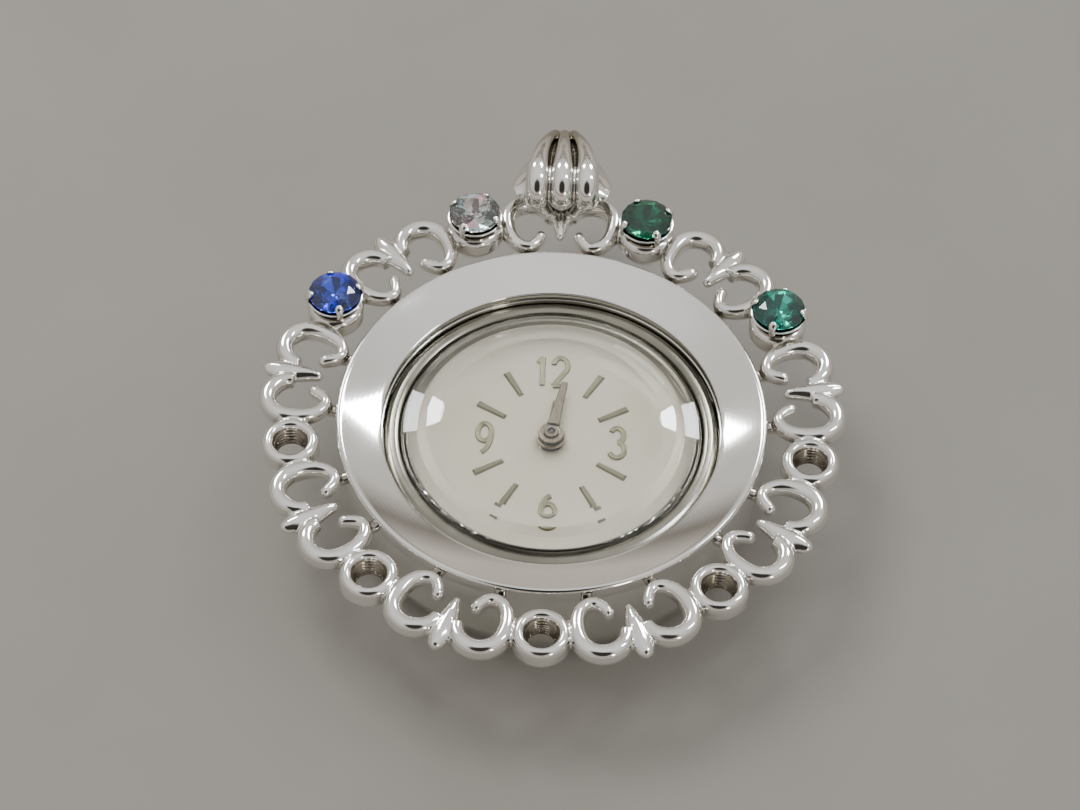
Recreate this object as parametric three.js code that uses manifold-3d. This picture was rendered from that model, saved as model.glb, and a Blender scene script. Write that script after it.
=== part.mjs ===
// A ladies' pendant watch with a ring of openwork scrolls and screw-in birthstones.
// Millimetres. The watch lies on its back: +Z comes out of the dial, +Y points to 12 and the bail,
// +X points to 3. The crown is at 12, under the bail. The origin is the centre of the case back's outer face.
import * as THREE from 'three';
import { mergeVertices } from 'three/addons/utils/BufferGeometryUtils.js';
import Module from 'manifold-3d';

const wasm = await Module();
wasm.setup();

// ---- driving dimensions -------------------------------------------------------------------------
const GAP = 0.05;                 // running and seating clearance between watch pieces
const ROUND = 30;                 // segments round a large turned piece
const FINE = 10;                  // segments round a small turned piece

const BEZEL_R = 11.46;            // bezel's outer radius
const BEZEL_INNER_R = 9.05;
const CASE_R = 11.3;              // case middle's outer radius
const CASE_INNER_R = 9.25;
const BACK_R = 9.9;
const CRYSTAL_R = 7.9;
const CRYSTAL_TABLE_R = 6.05;
const CRYSTAL_FACETS = 24;
const DIAL_R = 8.6;

const HALO_TOP = 6.8;             // height of the openwork ring's top face
const HALO_HEIGHT = 1.6;
const HALO_PITCH_R = 13.9;        // circle that the nine collets sit on
const COLLET_COUNT = 9;
const COLLET_FIRST_DEG = 30;      // a collet stands here, and every 40 degrees from it
const COLLET_R = 1.55;
const COLLET_HOLE_R = 0.85;
const STONE_DEGS = { blue: 150, clear: 110, emerald: 70, teal: 30 };
const STONE_R = 1.42;

const BACK_TOP = 0.5;             // levels, upward from the case back's outer face
const BRIDGE_Z = 0.84;
const BRIDGE_TOP = 1.24;
const PLATE_Z = 2.65;
const PLATE_TOP = 3.25;
const DIAL_Z = 3.7;
const DIAL_TOP = 4.0;
const CRYSTAL_Z = 5.05;
const PLATE_R = 8.7;

const WINDING_DEG = 90;           // direction of the winding stem, from 3 o'clock; the movement turns with it
const STEM_Z = 1.95;              // height of the winding stem's axis
const STEM_R = 0.3;
const STEM_X = 5.2;               // the stem's inner end
const PINION_START = 1.2;         // the winding pinion, measured along the stem from its inner end
const PINION_END = 1.65;
const CROWN_TRAVEL = 0.5;         // how far the crown pulls out
const CROWN_X = 11.95;            // the crown's inner face
const CROWN_R = 1.55;
const CROWN_LENGTH = 1.6;

const BAIL_PIN_Y = 16.2;          // the bail's pivot
const BAIL_PIN_Z = HALO_TOP - 0.9;
const BAIL_PIN_R = 0.3;
const BAIL_PIN_LENGTH = 5.16;

const MINUTE_HAND_DEG = 80;       // directions of the hands, counted from 3 o'clock
const HOUR_HAND_DEG = 89;

const deg = THREE.MathUtils.degToRad;
const polar = (radius, degrees) => new THREE.Vector2(
  radius * Math.cos(deg(degrees)), radius * Math.sin(deg(degrees)));

// ---- solids and booleans ------------------------------------------------------------------------
function signedVolume(position, index) {
  const a = new THREE.Vector3();
  const b = new THREE.Vector3();
  const c = new THREE.Vector3();
  let sum = 0;
  for (let i = 0; i < index.length; i += 3) {
    a.fromBufferAttribute(position, index[i]);
    b.fromBufferAttribute(position, index[i + 1]);
    c.fromBufferAttribute(position, index[i + 2]);
    sum += a.dot(b.cross(c));
  }
  return sum / 6;
}

function toSolid(geometry) {
  const plain = geometry.clone();
  plain.deleteAttribute('normal');
  plain.deleteAttribute('uv');
  const merged = mergeVertices(plain, 1e-5);
  const source = merged.index.array;
  const index = [];
  for (let i = 0; i < source.length; i += 3) {
    const [a, b, c] = [source[i], source[i + 1], source[i + 2]];
    if (a !== b && b !== c && c !== a) index.push(a, b, c);
  }
  if (signedVolume(merged.attributes.position, index) < 0) index.reverse();
  return new wasm.Manifold(new wasm.Mesh({
    numProp: 3,
    vertProperties: new Float32Array(merged.attributes.position.array),
    triVerts: new Uint32Array(index),
  }));
}

function toGeometry(solid) {
  const mesh = solid.getMesh();
  const geometry = new THREE.BufferGeometry();
  geometry.setAttribute('position', new THREE.BufferAttribute(mesh.vertProperties, 3));
  geometry.setIndex(new THREE.BufferAttribute(mesh.triVerts, 1));
  geometry.computeVertexNormals();
  return geometry;
}

const join = (...geometries) => toGeometry(
  geometries.map(toSolid).reduce((whole, part) => whole.add(part)));
const cut = (body, ...tools) => toGeometry(
  tools.map(toSolid).reduce((whole, tool) => whole.subtract(tool), toSolid(body)));
const common = (a, b) => toGeometry(toSolid(a).intersect(toSolid(b)));

// A piece turned about Z. The profile is a list of [radius, height].
function turned(profile, segments = ROUND) {
  const points = profile.map(([radius, height]) => new THREE.Vector2(radius, height));
  return toGeometry(toSolid(new THREE.LatheGeometry(points, segments).rotateX(Math.PI / 2)));
}

function ring(inner, outer, bottom, top, segments = ROUND) {
  return turned([[inner, bottom], [outer, bottom], [outer, top], [inner, top], [inner, bottom]], segments);
}

function disc(radius, bottom, top, segments = FINE) {
  return turned([[0, bottom], [radius, bottom], [radius, top], [0, top]], segments);
}

function block(x0, x1, y0, y1, z0, z1) {
  return new THREE.BoxGeometry(x1 - x0, y1 - y0, z1 - z0)
    .translate((x0 + x1) / 2, (y0 + y1) / 2, (z0 + z1) / 2);
}

function plate(shape, bottom, top, curveSegments = 12) {
  return new THREE.ExtrudeGeometry(shape, { depth: top - bottom, bevelEnabled: false, curveSegments })
    .translate(0, 0, bottom);
}

const alongX = (geometry) => geometry.rotateY(Math.PI / 2);

// ---- gears --------------------------------------------------------------------------------------
const TIP_SHARE = 0.06;           // half the width of a pinion leaf's tip, as a share of the pitch
const PINION_LEAVES = 20;         // a gear with more teeth than this has pointed teeth

function gearShape(teeth, module, holeR = 0) {
  const pitchR = module * teeth / 2;
  const tipR = pitchR + 0.6 * module;
  const rootR = pitchR - 1.1 * module;
  const pitchDeg = 360 / teeth;
  const points = [];
  for (let tooth = 0; tooth < teeth; tooth += 1) {
    if (teeth > PINION_LEAVES) {
      points.push(polar(tipR, tooth * pitchDeg));
    } else {
      points.push(polar(tipR, (tooth - TIP_SHARE) * pitchDeg), polar(tipR, (tooth + TIP_SHARE) * pitchDeg));
    }
    points.push(polar(rootR, (tooth + 0.5) * pitchDeg));
  }
  const shape = new THREE.Shape(points);
  if (holeR > 0) shape.holes.push(new THREE.Path().absarc(0, 0, holeR, 0, 2 * Math.PI, true));
  return shape;
}

const HOLE_CURVE = 4;             // steps in each stretch of a gear's hole
const gear = (teeth, module, bottom, top, holeR = 0) => plate(
  gearShape(teeth, module, holeR), bottom, top, HOLE_CURVE);

// Rotation that puts a driven gear's tooth spaces on the driver's teeth.
function meshTurn(driverTurn, driverTeeth, direction, drivenTeeth) {
  const driverPhase = (direction - driverTurn) * driverTeeth / 360;
  return direction + 180 - (0.5 - driverPhase) * 360 / drivenTeeth;
}

const step = (from, distance, degrees) => from.clone().add(polar(distance, degrees));

// The going train: each wheel drives the next one's pinion.
const BARREL_MODULE = 0.13;
const TRAIN_MODULE = 0.11;
const MOTION_MODULE = 0.13;
const FOURTH_MODULE = 0.1;
const ESCAPE_MODULE = 0.09;
const TEETH = {
  barrel: 48, centrePinion: 8, centre: 48, thirdPinion: 6, third: 45, fourthPinion: 6,
  fourth: 48, escapePinion: 6, escape: 15,
  cannon: 10, minute: 30, minutePinion: 8, hour: 32,
  ratchet: 28, crownWheel: 18, windingPinion: 14,
};
const CENTRE = new THREE.Vector2(0, 0);
const BARREL_DIR = 45;
const THIRD_DIR = -80;
const FOURTH_DIR = -160;
const ESCAPE_DIR = 200;
const BALANCE_DIR = 110;
const MINUTE_DIR = 60;
const CROWN_WHEEL_DIR = -40;
const centreDistance = (module, a, b) => module * (a + b) / 2;
const BARREL = step(CENTRE, centreDistance(BARREL_MODULE, TEETH.barrel, TEETH.centrePinion), BARREL_DIR);
const THIRD = step(CENTRE, centreDistance(TRAIN_MODULE, TEETH.centre, TEETH.thirdPinion), THIRD_DIR);
const FOURTH = step(THIRD, centreDistance(FOURTH_MODULE, TEETH.third, TEETH.fourthPinion), FOURTH_DIR);
const ESCAPE = step(FOURTH, centreDistance(ESCAPE_MODULE, TEETH.fourth, TEETH.escapePinion), ESCAPE_DIR);
const ESCAPE_TO_PALLET = 1.85;
const PALLET_TO_BALANCE = 2.6;
const PALLET = step(ESCAPE, ESCAPE_TO_PALLET, BALANCE_DIR);
const BALANCE = step(PALLET, PALLET_TO_BALANCE, BALANCE_DIR);
const MOTION_DISTANCE = centreDistance(MOTION_MODULE, TEETH.cannon, TEETH.minute);
const HOUR_MODULE = 2 * MOTION_DISTANCE / (TEETH.minutePinion + TEETH.hour);
const MINUTE_WHEEL = step(CENTRE, MOTION_DISTANCE, MINUTE_DIR);
const WINDING_MODULE = 0.155;
const CROWN_WHEEL = step(BARREL,
  centreDistance(WINDING_MODULE, TEETH.ratchet, TEETH.crownWheel), CROWN_WHEEL_DIR);

const BARREL_TURN = 0;
const CENTRE_TURN = meshTurn(BARREL_TURN, TEETH.barrel, BARREL_DIR + 180, TEETH.centrePinion);
const THIRD_TURN = meshTurn(CENTRE_TURN, TEETH.centre, THIRD_DIR, TEETH.thirdPinion);
const FOURTH_TURN = meshTurn(THIRD_TURN, TEETH.third, FOURTH_DIR, TEETH.fourthPinion);
const ESCAPE_TURN = meshTurn(FOURTH_TURN, TEETH.fourth, ESCAPE_DIR, TEETH.escapePinion);
const MINUTE_TURN = meshTurn(0, TEETH.cannon, MINUTE_DIR, TEETH.minute);
const HOUR_TURN = meshTurn(MINUTE_TURN, TEETH.minutePinion, MINUTE_DIR + 180, TEETH.hour);
const CROWN_WHEEL_TURN = meshTurn(0, TEETH.ratchet, CROWN_WHEEL_DIR, TEETH.crownWheel);

const ARBOR_R = 0.16;
const END_SHAKE = 0.03;            // room at each end of an arbor
const ARBOR_BOTTOM = BRIDGE_TOP + END_SHAKE;
const ARBOR_TOP = PLATE_Z - END_SHAKE;
const CENTRE_ARBOR_TOP = 4.78;     // the centre arbor runs up through the cannon pinion
const arbor = (bottom = ARBOR_BOTTOM, top = ARBOR_TOP) => disc(ARBOR_R, bottom, top, 8);

const barrelGeometry = () => join(
  gear(TEETH.barrel, BARREL_MODULE, 1.95, 2.24, 0.5), ring(0.5, 2.85, 1.34, 2.0, 24));
const centreGeometry = () => join(
  gear(TEETH.centre, TRAIN_MODULE, 2.34, 2.48), gear(TEETH.centrePinion, BARREL_MODULE, 1.9, 2.36),
  arbor(ARBOR_BOTTOM, CENTRE_ARBOR_TOP));
const thirdGeometry = () => join(
  gear(TEETH.third, FOURTH_MODULE, 1.9, 2.04), gear(TEETH.thirdPinion, TRAIN_MODULE, 2.3, 2.56), arbor());
const fourthGeometry = () => join(
  gear(TEETH.fourth, ESCAPE_MODULE, 1.5, 1.64), gear(TEETH.fourthPinion, FOURTH_MODULE, 1.8, 2.14), arbor());

function escapeGeometry() {
  const points = [];
  const rootR = 0.95;
  const tipR = 1.3;
  for (let tooth = 0; tooth < TEETH.escape; tooth += 1) {
    const start = tooth * 360 / TEETH.escape;
    points.push(polar(tipR, start + 5), polar(tipR, start + 8), polar(rootR, start + 11));
  }
  const pinion = gear(TEETH.escapePinion, ESCAPE_MODULE, 1.44, 1.72);
  return join(plate(new THREE.Shape(points), 1.95, 2.07), pinion, arbor());
}

const cannonGeometry = () => join(
  gear(TEETH.cannon, MOTION_MODULE, 3.3, 3.46, 0.22), ring(0.22, 0.38, 3.3, 4.85, FINE));
const minuteWheelGeometry = () => join(
  gear(TEETH.minute, MOTION_MODULE, 3.31, 3.42), gear(TEETH.minutePinion, HOUR_MODULE, 3.4, 3.63));
const hourWheelGeometry = () => join(
  gear(TEETH.hour, HOUR_MODULE, 3.51, 3.63, 0.44), ring(0.44, 0.6, 3.51, 4.46, FINE));

const ratchetGeometry = () => gear(TEETH.ratchet, WINDING_MODULE, 0.58, 0.78, 0.4);
const crownWheelGeometry = () => gear(TEETH.crownWheel, WINDING_MODULE, 0.58, 0.78, 0.3);
const barrelArborGeometry = () => join(disc(0.34, 0.56, 1.3, 10), disc(0.44, 1.3, 2.6, 10));

// ---- balance, pallets and keyless work ----------------------------------------------------------
const BALANCE_R = 2.3;

function balanceGeometry() {
  const arm = block(-BALANCE_R + 0.15, BALANCE_R - 0.15, -0.16, 0.16, 1.55, 1.7);
  return join(ring(BALANCE_R - 0.28, BALANCE_R, 1.5, 1.85, 24), arm, disc(0.2, ARBOR_BOTTOM, ARBOR_TOP, 8),
    disc(0.5, 2.3, 2.42, 12));
}

function hairspringGeometry() {
  const turns = 3;
  const stepsPerTurn = 12;
  const points = [];
  for (let i = 0; i <= turns * stepsPerTurn; i += 1) {
    const radius = 0.45 + 0.95 * i / (turns * stepsPerTurn);
    const spot = polar(radius, 360 * i / stepsPerTurn);
    points.push(new THREE.Vector3(spot.x, spot.y, 1.39));
  }
  const section = new THREE.Shape([
    new THREE.Vector2(-0.05, -0.03), new THREE.Vector2(0.05, -0.03),
    new THREE.Vector2(0.05, 0.03), new THREE.Vector2(-0.05, 0.03)]);
  return new THREE.ExtrudeGeometry(section, {
    steps: turns * stepsPerTurn, extrudePath: new THREE.CatmullRomCurve3(points), bevelEnabled: false });
}

function palletGeometry() {
  const lever = new THREE.Shape([
    new THREE.Vector2(-0.14, 0), new THREE.Vector2(-0.09, 1.5), new THREE.Vector2(-0.26, 1.95),
    new THREE.Vector2(-0.12, 1.95), new THREE.Vector2(0, 1.7), new THREE.Vector2(0.12, 1.95),
    new THREE.Vector2(0.26, 1.95), new THREE.Vector2(0.09, 1.5), new THREE.Vector2(0.14, 0)]);
  const arms = new THREE.Shape([
    new THREE.Vector2(-0.95, -0.55), new THREE.Vector2(-0.78, -0.62), new THREE.Vector2(0, -0.14),
    new THREE.Vector2(0.78, -0.62), new THREE.Vector2(0.95, -0.55), new THREE.Vector2(0.3, 0.2),
    new THREE.Vector2(-0.3, 0.2)]);
  return join(plate(lever, 2.12, 2.26), plate(arms, 1.95, 2.15), arbor());
}

const crownGeometry = () => {
  const flutes = 20;
  const outline = [];
  for (let i = 0; i < flutes; i += 1) {
    outline.push(polar(CROWN_R, (i - 0.28) * 360 / flutes), polar(CROWN_R, (i + 0.28) * 360 / flutes));
    outline.push(polar(CROWN_R - 0.14, (i + 0.5) * 360 / flutes));
  }
  const grip = plate(new THREE.Shape(outline), 0, CROWN_LENGTH);
  const rounding = turned([
    [0, -0.1], [1.3, -0.1], [1.6, 0.25], [1.6, 1.25], [1.15, 1.5], [0, CROWN_LENGTH]], flutes);
  return alongX(common(grip, rounding));
};

// The stem carries the winding pinion, and a groove that the setting lever's pin holds it by.
function stemGeometry() {
  const length = CROWN_X - GAP - STEM_X;
  const grooveStart = 1.8;
  const grooveEnd = 2.2;
  const stem = turned([
    [0, 0], [STEM_R, 0], [STEM_R, grooveStart], [0.16, grooveStart], [0.16, grooveEnd], [STEM_R, grooveEnd],
    [STEM_R, length], [0, length]], FINE);
  return alongX(join(stem, gear(TEETH.windingPinion, WINDING_MODULE, PINION_START, PINION_END)));
}

const settingLeverGeometry = () => join(
  block(-0.13, 0.13, -0.13, 0.13, 2.15, 2.34), block(-0.3, 0.3, -0.25, 2.0, 2.31, 2.5));

// ---- plates, bridges and screws -----------------------------------------------------------------
const BRIDGE_R = 8.3;

// A sector of a plate between two directions, on feet that stand down to the main plate.
function bridge(fromDeg, toDeg, innerR, feet, holes) {
  const shape = new THREE.Shape();
  const start = polar(innerR, fromDeg);
  shape.moveTo(start.x, start.y);
  shape.absarc(0, 0, BRIDGE_R, deg(fromDeg), deg(toDeg), false);
  shape.absarc(0, 0, innerR, deg(toDeg), deg(fromDeg), true);
  const top = plate(shape, BRIDGE_Z, BRIDGE_TOP, 9);
  const posts = feet.map(([radius, degrees]) => {
    const at = polar(radius, degrees);
    return disc(0.55, BRIDGE_TOP - 0.1, PLATE_Z - GAP, 6).translate(at.x, at.y, 0);
  });
  const wells = holes.map(([at, radius]) => disc(radius, BRIDGE_Z - 1, BRIDGE_TOP + 1, 8)
    .translate(at.x, at.y, 0));
  return cut(join(top, ...posts), ...wells);
}

const SCREW_R = 0.4;
const screwGeometry = () => cut(
  join(disc(SCREW_R, 0.6, BRIDGE_Z - 0.02, 10), disc(0.17, 0.7, BRIDGE_TOP - 0.02, 6)),
  block(-1, 1, -0.06, 0.06, 0.5, 0.67));
const SCREW_SHANK_R = 0.2;

function mainPlateGeometry() {
  const windows = [
    [CENTRE, 0.3],
    [new THREE.Vector2(6.9, 3.6), 0.35],
    [new THREE.Vector2(-6.9, 3.6), 0.35]];
  const wells = windows.map(([at, radius]) => disc(radius, PLATE_Z - 1, PLATE_TOP + 1, 12)
    .translate(at.x, at.y, 0));
  const pinionSlot = block(STEM_X + PINION_START - 0.15, STEM_X + PINION_END + CROWN_TRAVEL + 0.15,
    -1.05, 1.05, PLATE_Z - 1, PLATE_TOP + 1);
  return cut(disc(PLATE_R, PLATE_Z, PLATE_TOP, ROUND), ...wells, pinionSlot);
}

const jewelGeometry = () => ring(0.2, 0.42, BRIDGE_Z - 0.06, BRIDGE_TOP - 0.02, 10);
const JEWEL_SEAT_R = 0.5;

// ---- case ---------------------------------------------------------------------------------------
const caseBackGeometry = () => turned([
  [0, 0], [BACK_R - 0.9, 0], [BACK_R - 0.25, 0.12], [BACK_R, 0.35], [BACK_R, BACK_TOP],
  [9.1, BACK_TOP], [9.1, 1.15], [8.75, 1.15], [8.75, BACK_TOP], [0, BACK_TOP]]);

function caseMiddleGeometry() {
  const wall = turned([
    [CASE_INNER_R, 0.6], [9.98, 0.6], [9.98, 0.35], [10.4, 0.4], [10.95, 0.9], [CASE_R, 1.9], [CASE_R, 5.75],
    [10.8, 5.75], [10.8, 5.3], [9.0, 5.3], [9.0, 4.9], [CASE_INNER_R, 4.9], [CASE_INNER_R, 0.6]]);
  return cut(wall, alongX(disc(0.75, 8, 13)).translate(0, 0, STEM_Z));
}

const bezelGeometry = () => turned([
  [BEZEL_INNER_R, 5.35], [10.65, 5.35], [10.65, 5.8], [BEZEL_R, 5.8], [BEZEL_R, 6.55],
  [BEZEL_R - 0.2, 6.65], [10.6, 6.3], [9.7, 5.85], [BEZEL_INNER_R, 5.52],
  [BEZEL_INNER_R, 5.35]], 36);

const crystalRingGeometry = () => turned([
  [7.6, 4.15], [8.95, 4.15], [8.95, 5.22], [8.0, 5.28], [7.96, 5.25], [7.96, CRYSTAL_Z - GAP],
  [7.6, CRYSTAL_Z - GAP], [7.6, 4.15]]);

const crystalGeometry = () => turned([
  [0, CRYSTAL_Z], [CRYSTAL_R - 0.15, CRYSTAL_Z], [CRYSTAL_R, CRYSTAL_Z + 0.1], [CRYSTAL_R, 5.32],
  [CRYSTAL_TABLE_R, 5.72], [4.2, 5.85], [2.1, 5.92], [0, 5.94]], CRYSTAL_FACETS);

const movementRingGeometry = () => {
  const body = ring(PLATE_R + GAP, CASE_INNER_R - GAP, 1.2, 3.6);
  return cut(body, alongX(disc(1.1, 8, 10)).translate(0, 0, STEM_Z));
};

const dialGeometry = () => ring(0.72, DIAL_R, DIAL_Z, DIAL_TOP);

const crownTubeGeometry = () => alongX(ring(0.42, 0.7, CASE_INNER_R + 0.05, CROWN_X - 0.15, FINE));

function handGeometry(length, tail, width, bossR, holeR, bottom, top) {
  const blade = new THREE.Shape([
    new THREE.Vector2(-tail, -width * 0.35), new THREE.Vector2(bossR, -width / 2),
    new THREE.Vector2(length, -0.07), new THREE.Vector2(length, 0.07),
    new THREE.Vector2(bossR, width / 2), new THREE.Vector2(-tail, width * 0.35)]);
  const solid = join(plate(blade, bottom, top), disc(bossR, bottom, top, FINE));
  return cut(solid, disc(holeR, bottom - 1, top + 1, FINE));
}

// ---- openwork ring ------------------------------------------------------------------------------
const SCROLL_OFFSET = 1.76;       // the two scrolls of a pair stand this far each side of the leaf
const SCROLL_CENTRE_R = 13.85;
const SCROLL_R = 1.24;
const SCROLL_STRETCH = 1.45;      // the half of a scroll nearer the watch's centre is drawn out by this much
const SCROLL_WIDTH = 0.9;
const SCROLL_HEIGHT = 1.25;

const colletGeometry = () => turned([
  [COLLET_HOLE_R, HALO_TOP - HALO_HEIGHT], [COLLET_R - 0.35, HALO_TOP - HALO_HEIGHT],
  [COLLET_R, HALO_TOP - 0.95], [COLLET_R, HALO_TOP - 0.4], [COLLET_R - 0.35, HALO_TOP],
  [COLLET_HOLE_R, HALO_TOP - 0.15], [COLLET_HOLE_R, HALO_TOP - HALO_HEIGHT]], 14);

// The right-hand scroll of a pair whose leaf lies along +X from the watch's centre: an open C that starts
// beside the leaf's outer half, runs round the outside and ends in a small curl by its inner end.
function scrollGeometry(side) {
  const startDeg = 68;
  const bendDeg = -215;
  const endDeg = -238;
  const steps = 10;
  const points = [];
  for (let i = 0; i <= steps; i += 1) {
    const at = startDeg + (endDeg - startDeg) * i / steps;
    const curl = Math.max(0, (bendDeg - at) / (bendDeg - endDeg));
    const radius = SCROLL_R - 0.2 * curl;
    const along = radius * Math.cos(deg(at));
    const drawn = along < 0 ? along * SCROLL_STRETCH : along;
    const across = -radius * Math.sin(deg(at));
    points.push(new THREE.Vector3(SCROLL_CENTRE_R + drawn, side * (SCROLL_OFFSET + across), 0));
  }
  const half = SCROLL_WIDTH / 2;
  const shoulder = SCROLL_HEIGHT * 0.55;
  const section = new THREE.Shape([
    new THREE.Vector2(0, -half * 0.6), new THREE.Vector2(0, half * 0.6),
    new THREE.Vector2(-shoulder, half), new THREE.Vector2(-SCROLL_HEIGHT, half * 0.4),
    new THREE.Vector2(-SCROLL_HEIGHT, -half * 0.4), new THREE.Vector2(-shoulder, -half)]);
  return new THREE.ExtrudeGeometry(section, {
    steps, extrudePath: new THREE.CatmullRomCurve3(points), bevelEnabled: false,
  }).translate(0, 0, HALO_TOP - SCROLL_HEIGHT);
}

// A marquise leaf with a raised midrib, pointing outward.
function leafGeometry() {
  const inner = 12.7;
  const outer = 15.95;
  const halfWidth = 0.5;
  const outline = new THREE.Shape();
  const middle = (inner + outer) / 2 + 0.2;
  outline.moveTo(inner, 0);
  outline.quadraticCurveTo(middle - 0.4, -halfWidth * 2, outer, 0);
  outline.quadraticCurveTo(middle - 0.4, halfWidth * 2, inner, 0);
  return plate(outline, HALO_TOP - 1.35, HALO_TOP - 0.02, 3);
}

const tabGeometry = (side) => block(
  CASE_R + 0.04, SCROLL_CENTRE_R - SCROLL_R + 0.1, side * SCROLL_OFFSET - 0.3, side * SCROLL_OFFSET + 0.3,
  HALO_TOP - 1.55, HALO_TOP - 1.05);

function haloGeometry() {
  const parts = [];
  for (let i = 0; i < COLLET_COUNT; i += 1) {
    const colletDeg = COLLET_FIRST_DEG + i * 360 / COLLET_COUNT;
    const unitDeg = colletDeg + 180 / COLLET_COUNT;
    const spot = polar(HALO_PITCH_R, colletDeg);
    parts.push(colletGeometry().translate(spot.x, spot.y, 0));
    const unit = [scrollGeometry(1), scrollGeometry(-1), leafGeometry(), tabGeometry(1), tabGeometry(-1)];
    for (const piece of unit) {
      parts.push(piece.rotateZ(deg(unitDeg)));
    }
  }
  const lug = join(
    block(-0.55, 0.55, 14.6, BAIL_PIN_Y, BAIL_PIN_Z - 0.5, BAIL_PIN_Z + 0.5),
    alongX(disc(0.62, -0.55, 0.55, FINE)).translate(0, BAIL_PIN_Y, BAIL_PIN_Z));
  const bore = alongX(disc(BAIL_PIN_R + GAP, -2, 2, FINE)).translate(0, BAIL_PIN_Y, BAIL_PIN_Z);
  return cut(join(...parts, lug), bore);
}

// ---- birthstones --------------------------------------------------------------------------------
const SETTING_SEAT = HALO_TOP + 0.02;
const THREAD_R = COLLET_HOLE_R - 0.07;

// A screw-in head: a threaded stem, a flange that sits on the collet, a cup and four claws.
function settingGeometry() {
  const head = turned([
    [0, HALO_TOP - 1.45], [THREAD_R, HALO_TOP - 1.45], [THREAD_R, SETTING_SEAT],
    [1.15, SETTING_SEAT], [1.15, SETTING_SEAT + 0.14], [1.5, 7.4], [1.3, 7.49], [0, 6.93]], 12);
  const claws = [45, 135, 225, 315].map((at) => {
    const spot = polar(STONE_R + 0.14, at);
    return disc(0.13, 7.25, 8.02, 6).translate(spot.x, spot.y, 0);
  });
  return join(head, ...claws);
}

// A round brilliant: table, sixteen-sided crown, girdle and pavilion.
const stoneGeometry = () => turned([
  [0, 6.99], [STONE_R - 0.02, 7.66], [STONE_R, 7.76], [0.82, 8.1], [0, 8.1]], 16);

// ---- bail ---------------------------------------------------------------------------------------
// Side view of the bail as a list of [y, z] from the near end, over the crest, to the far tip and back.
const BAIL_TIP_Y = 20.4;

function bailSide() {
  const z = HALO_TOP;
  const outline = new THREE.Shape();
  outline.moveTo(14.25, z + 0.3);
  outline.quadraticCurveTo(14.4, z + 1.9, 15.9, z + 2.05);
  outline.quadraticCurveTo(18.6, z + 1.75, BAIL_TIP_Y, z - 0.35);
  outline.quadraticCurveTo(BAIL_TIP_Y + 0.1, z - 1.1, BAIL_TIP_Y - 0.6, z - 1.35);
  outline.lineTo(16.85, z - 2.1);
  outline.lineTo(16.85, z - 1.6);
  outline.lineTo(19.3, z - 0.95);
  outline.quadraticCurveTo(19.8, z - 0.7, 19.3, z - 0.2);
  outline.quadraticCurveTo(18.0, z + 1.1, 16.0, z + 1.45);
  outline.quadraticCurveTo(14.9, z + 1.4, 14.75, z + 0.3);
  return outline;
}

// The side wall round the pivot, which ties the upper leaf to the lower one.
function bailCheek() {
  const z = HALO_TOP;
  const outline = new THREE.Shape();
  outline.moveTo(BAIL_PIN_Y - 0.3, z + 1.6);
  outline.lineTo(BAIL_PIN_Y + 1.2, z + 1.55);
  outline.lineTo(BAIL_PIN_Y + 1.1, z - 1.9);
  outline.lineTo(BAIL_PIN_Y + 0.7, z - 1.9);
  outline.absarc(BAIL_PIN_Y, BAIL_PIN_Z, 0.7, deg(-60), deg(-180), true);
  outline.lineTo(BAIL_PIN_Y - 0.7, z + 0.3);
  return outline;
}

// An outline drawn in the YZ plane, given a thickness along X.
const sideways = (shape, x0, x1, curveSegments) => new THREE.ExtrudeGeometry(
  shape, { depth: x1 - x0, bevelEnabled: false, curveSegments })
  .applyMatrix4(new THREE.Matrix4().makeBasis(
    new THREE.Vector3(0, 1, 0), new THREE.Vector3(0, 0, 1), new THREE.Vector3(1, 0, 0)))
  .translate(x0, 0, 0);

function bailPlan() {
  const outline = new THREE.Shape();
  outline.moveTo(-2.45, 14);
  outline.lineTo(2.45, 14);
  outline.lineTo(2.75, 15.2);
  outline.quadraticCurveTo(2.6, 17.2, 1.75, 18.3);
  outline.quadraticCurveTo(0.95, 19.6, 0.6, 20.6);
  outline.lineTo(-0.6, 20.6);
  outline.quadraticCurveTo(-0.95, 19.6, -1.75, 18.3);
  outline.quadraticCurveTo(-2.6, 17.2, -2.75, 15.2);
  return outline;
}

function bailRib(side) {
  const z = HALO_TOP;
  const spread = 1.38 * side;
  const points = [
    new THREE.Vector3(spread, 14.4, z + 0.35), new THREE.Vector3(spread, 14.55, z + 1.2),
    new THREE.Vector3(spread, 15.1, z + 1.75), new THREE.Vector3(spread, 15.9, z + 1.95),
    new THREE.Vector3(spread * 0.92, 17.1, z + 1.75), new THREE.Vector3(spread * 0.62, 18.4, z + 1.2),
    new THREE.Vector3(spread * 0.25, 19.8, z + 0.05)];
  const section = new THREE.Shape().absarc(0, 0, 0.55, 0, 2 * Math.PI, false);
  return new THREE.ExtrudeGeometry(section, {
    steps: 7, extrudePath: new THREE.CatmullRomCurve3(points), bevelEnabled: false, curveSegments: 3 });
}

function bailGeometry() {
  const band = join(
    sideways(bailSide(), -3, 3, 3), sideways(bailCheek(), -2.6, -2.2, 3), sideways(bailCheek(), 2.2, 2.6, 3));
  const tapered = common(band, plate(bailPlan(), 0, 12, 3));
  const ribbed = join(tapered, bailRib(-1), bailRib(0), bailRib(1));
  const bore = alongX(disc(BAIL_PIN_R + GAP, -4, 4, FINE)).translate(0, BAIL_PIN_Y, BAIL_PIN_Z);
  return cut(ribbed, bore);
}

const bailPinGeometry = () => alongX(disc(BAIL_PIN_R, -BAIL_PIN_LENGTH / 2, BAIL_PIN_LENGTH / 2, FINE));

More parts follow.
